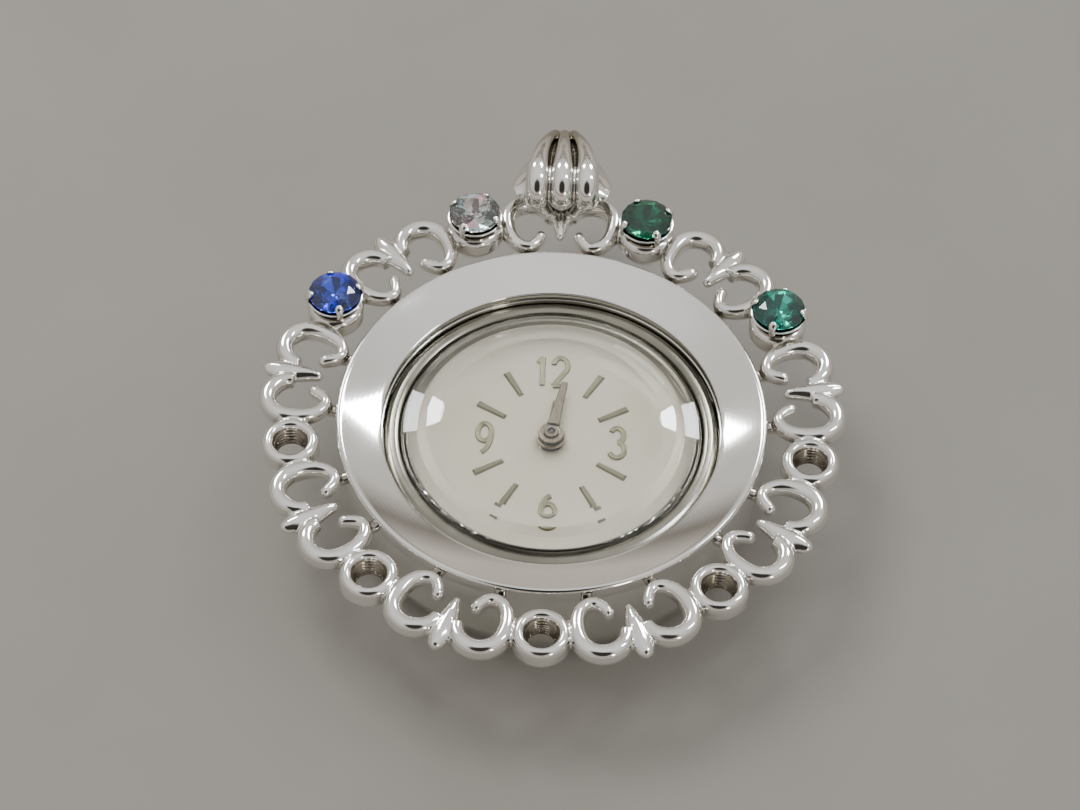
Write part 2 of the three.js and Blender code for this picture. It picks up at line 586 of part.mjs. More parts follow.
// ---- materials ----------------------------------------------------------------------------------
const metal = (color, roughness) => new THREE.MeshStandardMaterial({ color, roughness, metalness: 1 });
const polished = () => metal(0xdcdcd8, 0.12);
const steel = () => metal(0xb9bcc0, 0.28);
const brass = () => metal(0xc9a55a, 0.3);
const nickel = () => metal(0xbfb9a8, 0.35);
const handMetal = () => metal(0x8d8672, 0.35);
const clear = (color) => new THREE.MeshStandardMaterial({
  color, roughness: 0.03, metalness: 0, transparent: true, opacity: 0.45 });
const ruby = () => clear(0xb0304a);
const dialPaint = () => new THREE.MeshStandardMaterial({ color: 0xd8d6c8, roughness: 0.45, metalness: 0.35 });
const STONE_COLOURS = { blue: 0x3a5fd0, clear: 0xe8e6ee, emerald: 0x0b5a4a, teal: 0x0f8a80 };

// ---- assembly -----------------------------------------------------------------------------------
const watch = new THREE.Group();

function add(parent, name, geometry, material, at = new THREE.Vector3(), turnDeg = 0) {
  const mesh = new THREE.Mesh(geometry, material);
  mesh.name = name;
  mesh.position.copy(at);
  mesh.rotation.z = deg(turnDeg);
  parent.add(mesh);
  return mesh;
}
const flat = (point) => new THREE.Vector3(point.x, point.y, 0);

function addCase(parent) {
  add(parent, 'case_back', caseBackGeometry(), polished());
  add(parent, 'bezel', bezelGeometry(), polished());
  add(parent, 'crystal_ring', crystalRingGeometry(), nickel());
  add(parent, 'crystal', crystalGeometry(), clear(0xf4f6f4));
  add(parent, 'openwork_ring', haloGeometry(), polished());
}

function addBirthstones(parent) {
  for (const [colour, at] of Object.entries(STONE_DEGS)) {
    const spot = flat(polar(HALO_PITCH_R, at));
    add(parent, `${colour}_stone_setting`, settingGeometry(), polished(), spot, at);
    add(parent, `${colour}_stone`, stoneGeometry(), clear(STONE_COLOURS[colour]), spot, at);
  }
}

function addBail(parent) {
  add(parent, 'bail', bailGeometry(), polished());
  add(parent, 'bail_pin', bailPinGeometry(), steel(), new THREE.Vector3(0, BAIL_PIN_Y, BAIL_PIN_Z));
}

function addDialSide(parent) {
  add(parent, 'dial', dialGeometry(), dialPaint());
  add(parent, 'cannon_pinion', cannonGeometry(), steel());
  add(parent, 'minute_wheel', minuteWheelGeometry(), brass(), flat(MINUTE_WHEEL), MINUTE_TURN);
  add(parent, 'hour_wheel', hourWheelGeometry(), brass(), flat(CENTRE), HOUR_TURN);
  add(parent, 'hour_hand', handGeometry(2.5, 0.5, 0.5, 0.78, 0.62, 4.24, 4.38), handMetal(),
    flat(CENTRE), HOUR_HAND_DEG);
  add(parent, 'minute_hand', handGeometry(3.6, 0.6, 0.42, 0.67, 0.4, 4.58, 4.72), handMetal(),
    flat(CENTRE), MINUTE_HAND_DEG);
}

function addTrain(parent) {
  add(parent, 'mainspring_barrel', barrelGeometry(), brass(), flat(BARREL), BARREL_TURN);
  add(parent, 'barrel_arbor', barrelArborGeometry(), steel(), flat(BARREL));
  add(parent, 'ratchet_wheel', ratchetGeometry(), steel(), flat(BARREL));
  add(parent, 'crown_wheel', crownWheelGeometry(), steel(), flat(CROWN_WHEEL), CROWN_WHEEL_TURN);
  add(parent, 'centre_wheel', centreGeometry(), brass(), flat(CENTRE), CENTRE_TURN);
  add(parent, 'third_wheel', thirdGeometry(), brass(), flat(THIRD), THIRD_TURN);
  add(parent, 'fourth_wheel', fourthGeometry(), brass(), flat(FOURTH), FOURTH_TURN);
  add(parent, 'escape_wheel', escapeGeometry(), steel(), flat(ESCAPE), ESCAPE_TURN);
  add(parent, 'pallet_fork', palletGeometry(), steel(), flat(PALLET), BALANCE_DIR - 90);
  add(parent, 'balance_wheel', balanceGeometry(), brass(), flat(BALANCE));
  add(parent, 'hairspring', hairspringGeometry(), steel(), flat(BALANCE));
}

// These pieces are drawn with the winding stem along +X.
function addWinding(parent) {
  add(parent, 'case_middle', caseMiddleGeometry(), polished());
  add(parent, 'movement_ring', movementRingGeometry(), nickel());
  add(parent, 'crown_tube', crownTubeGeometry(), steel(), new THREE.Vector3(0, 0, STEM_Z));
  add(parent, 'crown', crownGeometry(), polished(), new THREE.Vector3(CROWN_X, 0, STEM_Z));
  add(parent, 'winding_stem', stemGeometry(), steel(), new THREE.Vector3(STEM_X, 0, STEM_Z));
  add(parent, 'setting_lever', settingLeverGeometry(), steel(), new THREE.Vector3(7.2, 0, 0));
}

const SCREWS = {
  barrel_bridge_screw_a: polar(7.5, 18),
  barrel_bridge_screw_b: polar(7.5, 100),
  train_bridge_screw_a: polar(7.5, 207),
  train_bridge_screw_b: polar(7.5, 325),
  balance_cock_screw: polar(7.6, 137),
};
const JEWELS = {
  third_wheel_jewel: THIRD, fourth_wheel_jewel: FOURTH, escape_wheel_jewel: ESCAPE, balance_jewel: BALANCE,
};

function addPlates(parent) {
  const pinionMiddle = STEM_X + (PINION_START + PINION_END + CROWN_TRAVEL) / 2;
  const barrelHoles = [
    [BARREL, 0.4], [CROWN_WHEEL, 0.25], [new THREE.Vector2(pinionMiddle, 0), 1.4],
    [SCREWS.barrel_bridge_screw_a, SCREW_SHANK_R], [SCREWS.barrel_bridge_screw_b, SCREW_SHANK_R]];
  const trainHoles = [
    [THIRD, JEWEL_SEAT_R], [FOURTH, JEWEL_SEAT_R], [ESCAPE, JEWEL_SEAT_R],
    [SCREWS.train_bridge_screw_a, SCREW_SHANK_R], [SCREWS.train_bridge_screw_b, SCREW_SHANK_R]];
  const cockHoles = [[BALANCE, JEWEL_SEAT_R], [SCREWS.balance_cock_screw, SCREW_SHANK_R]];
  add(parent, 'main_plate', mainPlateGeometry(), nickel());
  add(parent, 'barrel_bridge', bridge(-8, 118, 1.0, [[7.6, 22], [7.6, 100]], barrelHoles), nickel());
  add(parent, 'train_bridge', bridge(200, 345, 0.8, [[7.6, 207], [7.6, 330]], trainHoles), nickel());
  add(parent, 'balance_cock', bridge(127, 196, 3.6, [[7.6, 137]], cockHoles), nickel());
  for (const [name, at] of Object.entries(SCREWS)) {
    add(parent, name, screwGeometry(), steel(), flat(at));
  }
  for (const [name, at] of Object.entries(JEWELS)) {
    add(parent, name, jewelGeometry(), ruby(), flat(at));
  }
}

addCase(watch);
addBirthstones(watch);
addBail(watch);
addDialSide(watch);

const movement = new THREE.Group();
movement.rotation.z = deg(WINDING_DEG);
addTrain(movement);
addWinding(movement);
addPlates(movement);
watch.add(movement);

export default watch;
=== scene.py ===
# The looks of a ladies' pendant watch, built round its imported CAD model. Lengths in the code are millimetres.
import math

import bmesh
import bpy
from mathutils import Matrix, Vector


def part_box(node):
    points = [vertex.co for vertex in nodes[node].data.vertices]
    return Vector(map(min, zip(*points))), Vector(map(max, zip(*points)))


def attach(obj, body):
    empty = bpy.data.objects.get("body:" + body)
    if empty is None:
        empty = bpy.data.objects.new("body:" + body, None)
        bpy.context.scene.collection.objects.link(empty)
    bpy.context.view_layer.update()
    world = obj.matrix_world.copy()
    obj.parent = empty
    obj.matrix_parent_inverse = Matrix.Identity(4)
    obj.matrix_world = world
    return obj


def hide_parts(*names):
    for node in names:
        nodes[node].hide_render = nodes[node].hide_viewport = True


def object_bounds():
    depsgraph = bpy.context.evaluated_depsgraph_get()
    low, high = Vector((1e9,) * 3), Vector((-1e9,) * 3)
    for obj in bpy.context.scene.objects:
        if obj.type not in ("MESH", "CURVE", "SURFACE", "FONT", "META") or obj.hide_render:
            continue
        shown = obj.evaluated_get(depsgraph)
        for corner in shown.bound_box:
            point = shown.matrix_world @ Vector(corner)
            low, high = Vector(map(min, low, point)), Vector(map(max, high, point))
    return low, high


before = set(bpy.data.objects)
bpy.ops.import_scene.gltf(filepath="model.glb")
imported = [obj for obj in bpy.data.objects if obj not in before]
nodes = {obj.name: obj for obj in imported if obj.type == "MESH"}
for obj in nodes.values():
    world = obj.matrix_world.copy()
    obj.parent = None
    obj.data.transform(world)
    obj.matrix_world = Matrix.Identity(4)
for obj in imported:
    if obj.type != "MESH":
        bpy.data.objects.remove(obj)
CAD_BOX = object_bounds()
MM = 0.001


def span(node):
    """Lowest and highest corner of a CAD node, in millimetres."""
    low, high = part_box(node)
    return low / MM, high / MM


def middle(node):
    """Middle of a CAD node's box."""
    low, high = span(node)
    return (low + high) / 2


def heights(node):
    """Lowest and highest Z of a CAD node."""
    low, high = span(node)
    return low.z, high.z


# ---- sizes and places read from the frame -------------------------------------------------------
RING_TOP = heights("openwork_ring")[1]
BEZEL_R = span("bezel")[1].x
BEZEL_BASE, BEZEL_TOP = heights("bezel")
SEAT_BASE, SEAT_TOP = heights("crystal_ring")
CRYSTAL_R = span("crystal")[1].x
CRYSTAL_BASE, CRYSTAL_TOP = heights("crystal")
DIAL_R = span("dial")[1].x
DIAL_BASE, DIAL_TOP = heights("dial")
PIN = middle("bail_pin")
PIN_HALF = span("bail_pin")[1].x
STONE_PLACES = {colour: middle(colour + "_stone") for colour in ("blue", "clear", "emerald", "teal")}
CULET_Z, TABLE_Z = heights("blue_stone")
STEM_FOOT_Z, CLAW_TOP = heights("blue_stone_setting")
COLLET_PITCH_R = STONE_PLACES["blue"].to_2d().length
COLLET_FIRST = math.degrees(math.atan2(STONE_PLACES["teal"].y, STONE_PLACES["teal"].x))

# ---- driving sizes ------------------------------------------------------------------------------
ROUND = 192                 # segments round a large turned piece
BEZEL_INNER_R = 9.05
BEZEL_STEP_R = 10.65        # inside this the bezel reaches down into the case
COLLET_COUNT = 9
UNIT_STEP = 360 / COLLET_COUNT
COLLET_R = 1.55
COLLET_HOLE_R = 0.85
SCROLL_CENTRE_R = 13.85     # each scroll bends round a point this far from the watch's centre
SCROLL_OFFSET = 1.76        # and this far to one side of the leaf
SCROLL_R = 1.24
SCROLL_STRETCH = 1.55       # the half of a scroll nearer the watch's centre is drawn out by this much
SCROLL_START, SCROLL_END = 84, -238     # degrees round its own centre
LEAF_INNER, LEAF_OUTER = 12.5, 15.9
STONE_R = 1.42
MINUTE_HAND_AT = 80         # directions of the hands, counted from 3 o'clock
HOUR_HAND_AT = 89
CRYSTAL_FACETS = 24


def polar(radius, degrees):
    return radius * math.cos(math.radians(degrees)), radius * math.sin(math.radians(degrees))


# ---- mesh helpers -------------------------------------------------------------------------------
class Shell:
    """Vertices and faces of one piece, in millimetres, built up from closed parts."""

    def __init__(self):
        self.vertices = []
        self.faces = []

    def join(self, other, matrix=None):
        first = len(self.vertices)
        for vertex in other.vertices:
            self.vertices.append(matrix @ vertex if matrix else vertex)
        self.faces.extend([tuple(first + i for i in face) for face in other.faces])
        return self

    def ring(self, points):
        first = len(self.vertices)
        self.vertices.extend([Vector(p) for p in points])
        return list(range(first, len(self.vertices)))

    def circle(self, radius, z, count, shift=0.0):
        """Points evenly round the Z axis, turned by a share of one step."""
        return self.ring([(*polar(radius, 360 * (i + shift) / count), z) for i in range(count)])

    def bridge(self, low, high):
        count = len(low)
        for i in range(count):
            j = (i + 1) % count
            self.faces.append((low[i], low[j], high[j], high[i]))

    def loft(self, rings):
        """Joins rings of points one to the next and closes both ends."""
        made = [self.ring(points) for points in rings]
        for low, high in zip(made, made[1:]):
            self.bridge(low, high)
        self.faces.append(tuple(reversed(made[0])))
        self.faces.append(tuple(made[-1]))
        return self


def outward(mesh):
    """Turns every face of the mesh outward."""
    work = bmesh.new()
    work.from_mesh(mesh)
    bmesh.ops.recalc_face_normals(work, faces=work.faces)
    work.to_mesh(mesh)
    work.free()


def piece(name, shell, material, body, replaced=(), sharp=35, smooth=True):
    """Makes the object for a shell and says what it rides on and stands for."""
    mesh = bpy.data.meshes.new(name)
    mesh.from_pydata([tuple(v * MM) for v in shell.vertices], [], shell.faces)
    mesh.validate()
    outward(mesh)
    if smooth:
        mesh.shade_smooth()
        mesh.set_sharp_from_angle(angle=math.radians(sharp))
    mesh.materials.append(material)
    made = bpy.data.objects.new(name, mesh)
    bpy.context.scene.collection.objects.link(made)
    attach(made, body)
    if replaced:
        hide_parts(*replaced)
    return made


def cast(shell, voxel, rounds):
    """One continuous surface round overlapping parts, with the joints between them filled and softened."""
    mesh = bpy.data.meshes.new("cast")
    mesh.from_pydata([tuple(v) for v in shell.vertices], [], shell.faces)
    outward(mesh)
    rough = bpy.data.objects.new("cast", mesh)
    bpy.context.scene.collection.objects.link(rough)
    fuse = rough.modifiers.new("fuse", "REMESH")
    fuse.mode = "VOXEL"
    fuse.voxel_size = voxel
    soften = rough.modifiers.new("soften", "SMOOTH")
    soften.factor = 0.5
    soften.iterations = rounds
    fused = bpy.data.meshes.new_from_object(rough.evaluated_get(bpy.context.evaluated_depsgraph_get()))
    result = Shell()
    result.vertices = [v.co.copy() for v in fused.vertices]
    result.faces = [tuple(p.vertices) for p in fused.polygons]
    bpy.data.objects.remove(rough)
    bpy.data.meshes.remove(mesh)
    bpy.data.meshes.remove(fused)
    return result


def smooth_step(t):
    """Rises from 0 to 1 with a soft start and end."""
    t = min(1.0, max(0.0, t))
    return t * t * (3 - 2 * t)


def catmull(points, per_span):
    """Points along a smooth curve through the given ones."""
    result = []
    last = len(points) - 1
    for i in range(last):
        p0, p1, p2, p3 = points[max(i - 1, 0)], points[i], points[i + 1], points[min(i + 2, last)]
        for k in range(per_span):
            t = k / per_span
            result.append(0.5 * (2 * p1 + (p2 - p0) * t + (2 * p0 - 5 * p1 + 4 * p2 - p3) * t ** 2
                                 + (3 * p1 - p0 - 3 * p2 + p3) * t ** 3))
    result.append(points[-1])
    return result


def rounded(profile, radius, steps=4):
    """A profile whose corners are rounded. Its two ends stay as they are."""
    points = [Vector(p) for p in profile]
    result = [points[0]]
    for before, corner, after in zip(points, points[1:], points[2:]):
        back, forth = before - corner, after - corner
        reach = min(radius, back.length * 0.45, forth.length * 0.45)
        start = corner + back.normalized() * reach
        end = corner + forth.normalized() * reach
        for i in range(steps + 1):
            t = i / steps
            result.append(start * (1 - t) ** 2 + corner * 2 * t * (1 - t) + end * t * t)
    result.append(points[-1])
    return result


def turned(profile, segments=ROUND):
    """A closed solid of revolution about Z. The profile starts and ends on the axis, or closes on itself."""
    shell = Shell()
    profile = [Vector(p) for p in profile]
    closed = (profile[0] - profile[-1]).length < 1e-6
    points = profile[:-1] if closed else profile
    rings = []
    for point in points:
        if point.x < 1e-6:
            rings.append([len(shell.vertices)] * segments)
            shell.vertices.append(Vector((0, 0, point.y)))
        else:
            rings.append(shell.circle(point.x, point.y, segments))
    following = rings[1:] + rings[:1] if closed else rings[1:]
    for low, high in zip(rings, following):
        for i in range(segments):
            j = (i + 1) % segments
            face = [low[i], low[j], high[j], high[i]]
            face = [v for k, v in enumerate(face) if v != face[k - 1]]
            if len(set(face)) > 2:
                shell.faces.append(tuple(face))
    return shell


def turned_ring(profile, radius=0.05, segments=ROUND):
    """A ring whose closed profile, a list of radius and height, has rounded corners."""
    start = (Vector(profile[0]) + Vector(profile[1])) / 2
    loop = [start, *[Vector(p) for p in profile[1:]], Vector(profile[0]), start]
    return turned(rounded(loop, radius), segments)


def rod(radius, half_length, rounding, segments):
    """A short rod about Z with rounded rims, centred on the origin."""
    profile = [(0, -half_length), (radius, -half_length), (radius, half_length), (0, half_length)]
    return turned(rounded(profile, rounding), segments)


def swept(path, section, sides=20, power=2.0, level=None):
    """A closed tube. section(t) gives its half width and half height at t from 0 to 1.
    The width lies along level where one is given, and otherwise across the path in the XY plane."""
    count = len(path)
    rings = []
    for i, point in enumerate(path):
        along = (path[min(i + 1, count - 1)] - path[max(i - 1, 0)]).normalized()
        across = level or along.cross(Vector((0, 0, 1))).normalized()
        up = across.cross(along).normalized()
        half_width, half_height = section(i / (count - 1))
        points = []
        for side in range(sides):
            angle = 2 * math.pi * side / sides
            c, s = math.cos(angle), math.sin(angle)
            x = math.copysign(abs(c) ** (2 / power), c) * half_width
            y = math.copysign(abs(s) ** (2 / power), s) * half_height
            points.append(point + across * x + up * y)
        rings.append(points)
    return Shell().loft(rings)


def round_ends(t, share):
    """Falls from 1 to near 0 along a quarter circle within a share of each end."""
    past = max(0.0, (abs(t - 0.5) * 2 - (1 - share)) / share)
    return math.sqrt(max(0.02, 1 - past * past))


def drawn_in(outline, inset):
    """An outline, counted anticlockwise, moved inward by the same distance everywhere."""
    count = len(outline)
    result = []
    for i in range(count):
        before, at, after = outline[i - 1], outline[i], outline[(i + 1) % count]
        into = (at - before).normalized()
        out = (after - at).normalized()
        normal = Vector((-into.y - out.y, into.x + out.x)).normalized()
        spread_out = max(0.4, normal.dot(Vector((-into.y, into.x))))
        result.append(at + normal * (inset / spread_out))
    return result


def extruded(outline, low, high, bevel=0.0):
    """A closed prism of a flat outline, with its top edge bevelled where asked."""
    outline = [Vector(p) for p in outline]
    levels = [(low, 0.0), (high, 0.0)]
    if bevel:
        levels = [(low, 0.0), (high - bevel, 0.0), (high, bevel)]
    return Shell().loft([[(*p, z) for p in drawn_in(outline, inset)] for z, inset in levels])


def moved(x=0.0, y=0.0, z=0.0, turn=0.0):
    """A turn about Z in degrees, and then a shift."""
    return Matrix.Translation((x, y, z)) @ Matrix.Rotation(math.radians(turn), 4, "Z")


STAND_ALONG_X = Matrix.Rotation(math.pi / 2, 4, "Y")


# ---- materials ----------------------------------------------------------------------------------
WHITE = (1, 1, 1, 1)
# painted shade: the tint of recesses and of the joints between parts
PAINTED_SHADE_TINT = (0.2, 0.17, 0.13, 1)
# painted shade: the tint of the bail's far tip
TIP_SHADE_TINT = (0.4, 0.34, 0.26, 1)
SCRATCH_DEPTH = 0.01 * MM
RAY_DEPTH = 0.02 * MM


def new_material(name, **sockets):
    """A material with the given values on its shader, and its nodes, links and shader."""
    material = bpy.data.materials.new(name)
    material.use_nodes = True
    shader = material.node_tree.nodes["Principled BSDF"]
    for socket, value in sockets.items():
        shader.inputs[socket.replace("_", " ")].default_value = value
    return material, material.node_tree.nodes, material.node_tree.links, shader


def noise(tree, links, scale, detail=4.0, stretch=None):
    """Noise over the object's own coordinates, in metres, stretched along an axis where asked."""
    place = tree.new("ShaderNodeTexCoord")
    texture = tree.new("ShaderNodeTexNoise")
    texture.inputs["Scale"].default_value = scale
    texture.inputs["Detail"].default_value = detail
    source = place.outputs["Object"]
    if stretch:
        mapping = tree.new("ShaderNodeMapping")
        mapping.inputs["Scale"].default_value = stretch
        links.new(source, mapping.inputs["Vector"])
        source = mapping.outputs["Vector"]
    links.new(source, texture.inputs["Vector"])
    return texture.outputs["Fac"]


def axes(tree, links):
    """The object's own coordinates, in metres, one by one."""
    place = tree.new("ShaderNodeTexCoord")
    split = tree.new("ShaderNodeSeparateXYZ")
    links.new(place.outputs["Object"], split.inputs["Vector"])
    return split.outputs


def ramp(tree, links, source, stops):
    """Colours by a value, from a list of positions and colours."""
    node = tree.new("ShaderNodeValToRGB")
    node.color_ramp.elements[0].position = stops[0][0]
    node.color_ramp.elements[0].color = stops[0][1]
    node.color_ramp.elements[1].position = stops[-1][0]
    node.color_ramp.elements[1].color = stops[-1][1]
    for position, colour in stops[1:-1]:
        node.color_ramp.elements.new(position).color = colour
    links.new(source, node.inputs["Fac"])
    return node.outputs["Color"]


def spread(tree, links, source, low, high, from_low=0.25, from_high=0.75):
    """A value moved from one range to another. Noise mostly lies between a quarter and three quarters."""
    node = tree.new("ShaderNodeMapRange")
    node.inputs["From Min"].default_value = from_low
    node.inputs["From Max"].default_value = from_high
    node.inputs["To Min"].default_value = low
    node.inputs["To Max"].default_value = high
    links.new(source, node.inputs["Value"])
    return node.outputs["Result"]


def multiplied(tree, links, a, b):
    """One colour tinted by another."""
    node = tree.new("ShaderNodeMix")
    node.data_type = "RGBA"
    node.blend_type = "MULTIPLY"
    node.inputs["Factor"].default_value = 1.0
    links.new(a, node.inputs["A"])
    links.new(b, node.inputs["B"])
    return node.outputs["Result"]


def bumped(tree, links, shader, source, strength, distance):
    """Fine relief on the shader, from a height."""
    node = tree.new("ShaderNodeBump")
    node.inputs["Strength"].default_value = strength
    node.inputs["Distance"].default_value = distance
    links.new(source, node.inputs["Height"])
    links.new(node.outputs["Normal"], shader.inputs["Normal"])


def metal(name, light, dark, rough, stretch=None, grain=900.0, bump=0.05, painted_shade_reach=0.0, painted_shade_span=None):
    """Metal with a faint change of tone, uneven gloss and fine scratches. Where asked it has painted shade in
    its recesses, and painted shade that grows darker between two places along Y."""
    material, tree, links, shader = new_material(name, Metallic=1.0)
    colour = ramp(tree, links, noise(tree, links, 160.0, 3.0), [(0.35, dark), (0.65, light)])
    # painted shade: ambient occlusion darkens the colour in recesses and between parts
    if painted_shade_reach:
        occlusion_node = tree.new("ShaderNodeAmbientOcclusion")
        occlusion_node.samples = 6
        occlusion_node.inputs["Distance"].default_value = painted_shade_reach * MM
        shading_tint = ramp(tree, links, occlusion_node.outputs["AO"], [(0.25, PAINTED_SHADE_TINT), (0.85, WHITE)])
        colour = multiplied(tree, links, colour, shading_tint)
    # painted shade: darker along Y towards the bail's far tip
    if painted_shade_span:
        start, end = painted_shade_span
        along = spread(tree, links, axes(tree, links)["Y"], 0.0, 1.0, start * MM, end * MM)
        tint = ramp(tree, links, along, [(0.0, WHITE), (1.0, TIP_SHADE_TINT)])
        colour = multiplied(tree, links, colour, tint)
    links.new(colour, shader.inputs["Base Color"])
    uneven = noise(tree, links, grain, 5.0, stretch)
    links.new(spread(tree, links, uneven, *rough), shader.inputs["Roughness"])
    bumped(tree, links, shader, noise(tree, links, grain * 4, 2.0, stretch), bump, SCRATCH_DEPTH)
    return material


def foil(name, stops):
    """The mirrored back of a cut stone, whose facets take different tones."""
    material, tree, links, shader = new_material(name, Metallic=1.0, Roughness=0.06)
    place = tree.new("ShaderNodeTexCoord")
    cells = tree.new("ShaderNodeTexVoronoi")
    cells.inputs["Scale"].default_value = 1500.0        # cells about 0.7 mm across
    links.new(place.outputs["Object"], cells.inputs["Vector"])
    split = tree.new("ShaderNodeSeparateColor")
    links.new(cells.outputs["Color"], split.inputs["Color"])
    links.new(ramp(tree, links, split.outputs["Red"], stops), shader.inputs["Base Color"])
    return material


def gem(name, colour, ior):
    """A cut stone's clear front, slightly clouded."""
    material, tree, links, shader = new_material(name, Roughness=0.01, IOR=ior, Transmission_Weight=0.95)
    paler = tuple(0.25 + 0.75 * c for c in colour[:3]) + (1.0,)
    cloud = noise(tree, links, 700.0, 2.0)
    links.new(ramp(tree, links, cloud, [(0.3, colour), (0.7, paler)]), shader.inputs["Base Color"])
    return material


def two_tone(name, lower, upper, level):
    """A metal piece that is one colour below a height and another above it."""
    material, tree, links, shader = new_material(name, Metallic=1.0)
    height = spread(tree, links, axes(tree, links)["Z"], 0.0, 1.0, (level - 0.05) * MM, (level + 0.05) * MM)
    links.new(ramp(tree, links, height, [(0.0, lower), (1.0, upper)]), shader.inputs["Base Color"])
    links.new(spread(tree, links, noise(tree, links, 900.0), 0.18, 0.34), shader.inputs["Roughness"])
    return material


def crystal_material(name, ior):
    """Clear acrylic or glass with a faint haze and slight wear."""
    material, tree, links, shader = new_material(name, IOR=ior, Transmission_Weight=1.0)
    haze = noise(tree, links, 300.0, 3.0)
    links.new(ramp(tree, links, haze, [(0.3, (0.96, 0.965, 0.95, 1)), (0.7, (0.985, 0.985, 0.98, 1))]),
              shader.inputs["Base Color"])
    wear = noise(tree, links, 1500.0, 3.0)
    links.new(spread(tree, links, wear, 0.0, 0.03), shader.inputs["Roughness"])
    return material


def dial_material():
    """Silvered dial: satin rays from the centre and a warm, slightly uneven tone."""
    material, tree, links, shader = new_material("dial", Metallic=0.25)
    position = axes(tree, links)
    angle = tree.new("ShaderNodeMath")
    angle.operation = "ARCTAN2"
    links.new(position["Y"], angle.inputs[0])
    links.new(position["X"], angle.inputs[1])
    rays = tree.new("ShaderNodeTexNoise")
    rays.noise_dimensions = "1D"
    rays.inputs["Scale"].default_value = 60.0
    rays.inputs["Detail"].default_value = 6.0
    links.new(angle.outputs["Value"], rays.inputs["W"])
    tone = noise(tree, links, 150.0, 5.0)
    links.new(ramp(tree, links, tone, [(0.3, (0.79, 0.725, 0.56, 1)), (0.7, (0.87, 0.815, 0.67, 1))]),
              shader.inputs["Base Color"])
    links.new(spread(tree, links, rays.outputs["Fac"], 0.32, 0.46), shader.inputs["Roughness"])
    bumped(tree, links, shader, rays.outputs["Fac"], 0.06, RAY_DEPTH)
    return material


SILVER_LIGHT = (0.9, 0.885, 0.85, 1)
SILVER_DARK = (0.82, 0.8, 0.755, 1)
BRASS_TONE = (0.72, 0.54, 0.25, 1)
ARBOR_FROM_Z = 3.2          # above this the centre wheel's arbor is steel
BAIL_SHADE_SPAN = (16.6, 19.4)    # Y where the bail's painted shade begins and ends growing darker
# the cast silver has painted shade reaching 0.6 mm into its recesses
CAST_LOOK = {"rough": (0.05, 0.14), "grain": 500.0, "bump": 0.05, "painted_shade_reach": 0.6}

POLISHED = metal(
    "polished_case", (0.88, 0.865, 0.83, 1), (0.83, 0.815, 0.775, 1),
    rough=(0.045, 0.1), grain=300.0, bump=0.02)
CAST_METAL = metal("polished_openwork", SILVER_LIGHT, SILVER_DARK, **CAST_LOOK)
BAIL_METAL = metal("polished_bail", SILVER_LIGHT, SILVER_DARK, **CAST_LOOK, painted_shade_span=BAIL_SHADE_SPAN)
DULL_METAL = metal("dull_seat", (0.3, 0.285, 0.235, 1), (0.2, 0.19, 0.155, 1), rough=(0.16, 0.28))
# painted shade: the threads are a dark copy of the cast silver, standing for the shade inside the collets'
# bores
SHADED_THREAD_METAL = metal(
    "shaded_threads", (0.36, 0.32, 0.26, 1), (0.24, 0.21, 0.165, 1),
    rough=(0.14, 0.22), bump=0.02, painted_shade_reach=0.35)
STEEL = metal("steel", (0.62, 0.62, 0.64, 1), (0.5, 0.5, 0.52, 1), rough=(0.18, 0.34), stretch=(1, 14, 1))
BRASS = metal("brass", (0.78, 0.6, 0.29, 1), (0.64, 0.47, 0.2, 1), rough=(0.18, 0.36), stretch=(12, 1, 1))
NICKEL = metal("nickel", (0.68, 0.66, 0.6, 1), (0.56, 0.54, 0.48, 1), rough=(0.24, 0.42), stretch=(1, 18, 1))
HANDS = metal("hands", (0.44, 0.38, 0.3, 1), (0.34, 0.29, 0.22, 1), rough=(0.24, 0.36), stretch=(10, 1, 1))
MARKERS = metal(
    "markers", (0.36, 0.34, 0.22, 1), (0.24, 0.225, 0.14, 1), rough=(0.3, 0.44), stretch=(1, 8, 1))
CENTRE_WHEEL = two_tone("brass_and_steel", BRASS_TONE, (0.16, 0.15, 0.14, 1), ARBOR_FROM_Z)
# painted shade: the pipe above the dial is dark, standing for the shaded gap between the dial and the hour
# hand's boss
HOUR_WHEEL = two_tone("brass_and_shaded_pipe", BRASS_TONE, (0.2, 0.17, 0.13, 1), DIAL_BASE)
RUBY = gem("ruby", (0.62, 0.05, 0.14, 1), 1.76)
CRYSTAL = crystal_material("crystal", 1.49)
CUT_EDGE = crystal_material("crystal_cut_edge", 1.85)
DIAL = dial_material()
GEMS = {
    "blue": gem("blue_glass", (0.2, 0.4, 1.0, 1), 1.6),
    "clear": gem("clear_glass", (0.97, 0.97, 0.99, 1), 1.7),
    "emerald": gem("emerald_glass", (0.03, 0.6, 0.42, 1), 1.6),
    "teal": gem("teal_glass", (0.08, 0.8, 0.68, 1), 1.6),
}
FOILS = {
    "blue": foil("blue_foil", [
        (0.0, (0.03, 0.08, 0.5, 1)),
        (0.3, (0.1, 0.24, 0.95, 1)),
        (0.6, (0.3, 0.2, 0.95, 1)),
        (1.0, (0.4, 0.7, 1.0, 1))]),
    "clear": foil("clear_foil", [
        (0.0, (0.95, 0.94, 0.92, 1)),
        (0.3, (0.95, 0.7, 0.75, 1)),
        (0.55, (0.97, 0.97, 0.93, 1)),
        (0.75, (0.65, 0.92, 0.93, 1)),
        (1.0, (0.8, 0.95, 0.75, 1))]),
    "emerald": foil("emerald_foil", [
        (0.0, (0.0, 0.06, 0.05, 1)),
        (0.4, (0.0, 0.22, 0.15, 1)),
        (0.7, (0.01, 0.42, 0.28, 1)),
        (1.0, (0.1, 0.85, 0.6, 1))]),
    "teal": foil("teal_foil", [
        (0.0, (0.0, 0.1, 0.1, 1)),
        (0.35, (0.01, 0.38, 0.34, 1)),
        (0.7, (0.04, 0.6, 0.52, 1)),
        (1.0, (0.3, 0.95, 0.85, 1))]),
}


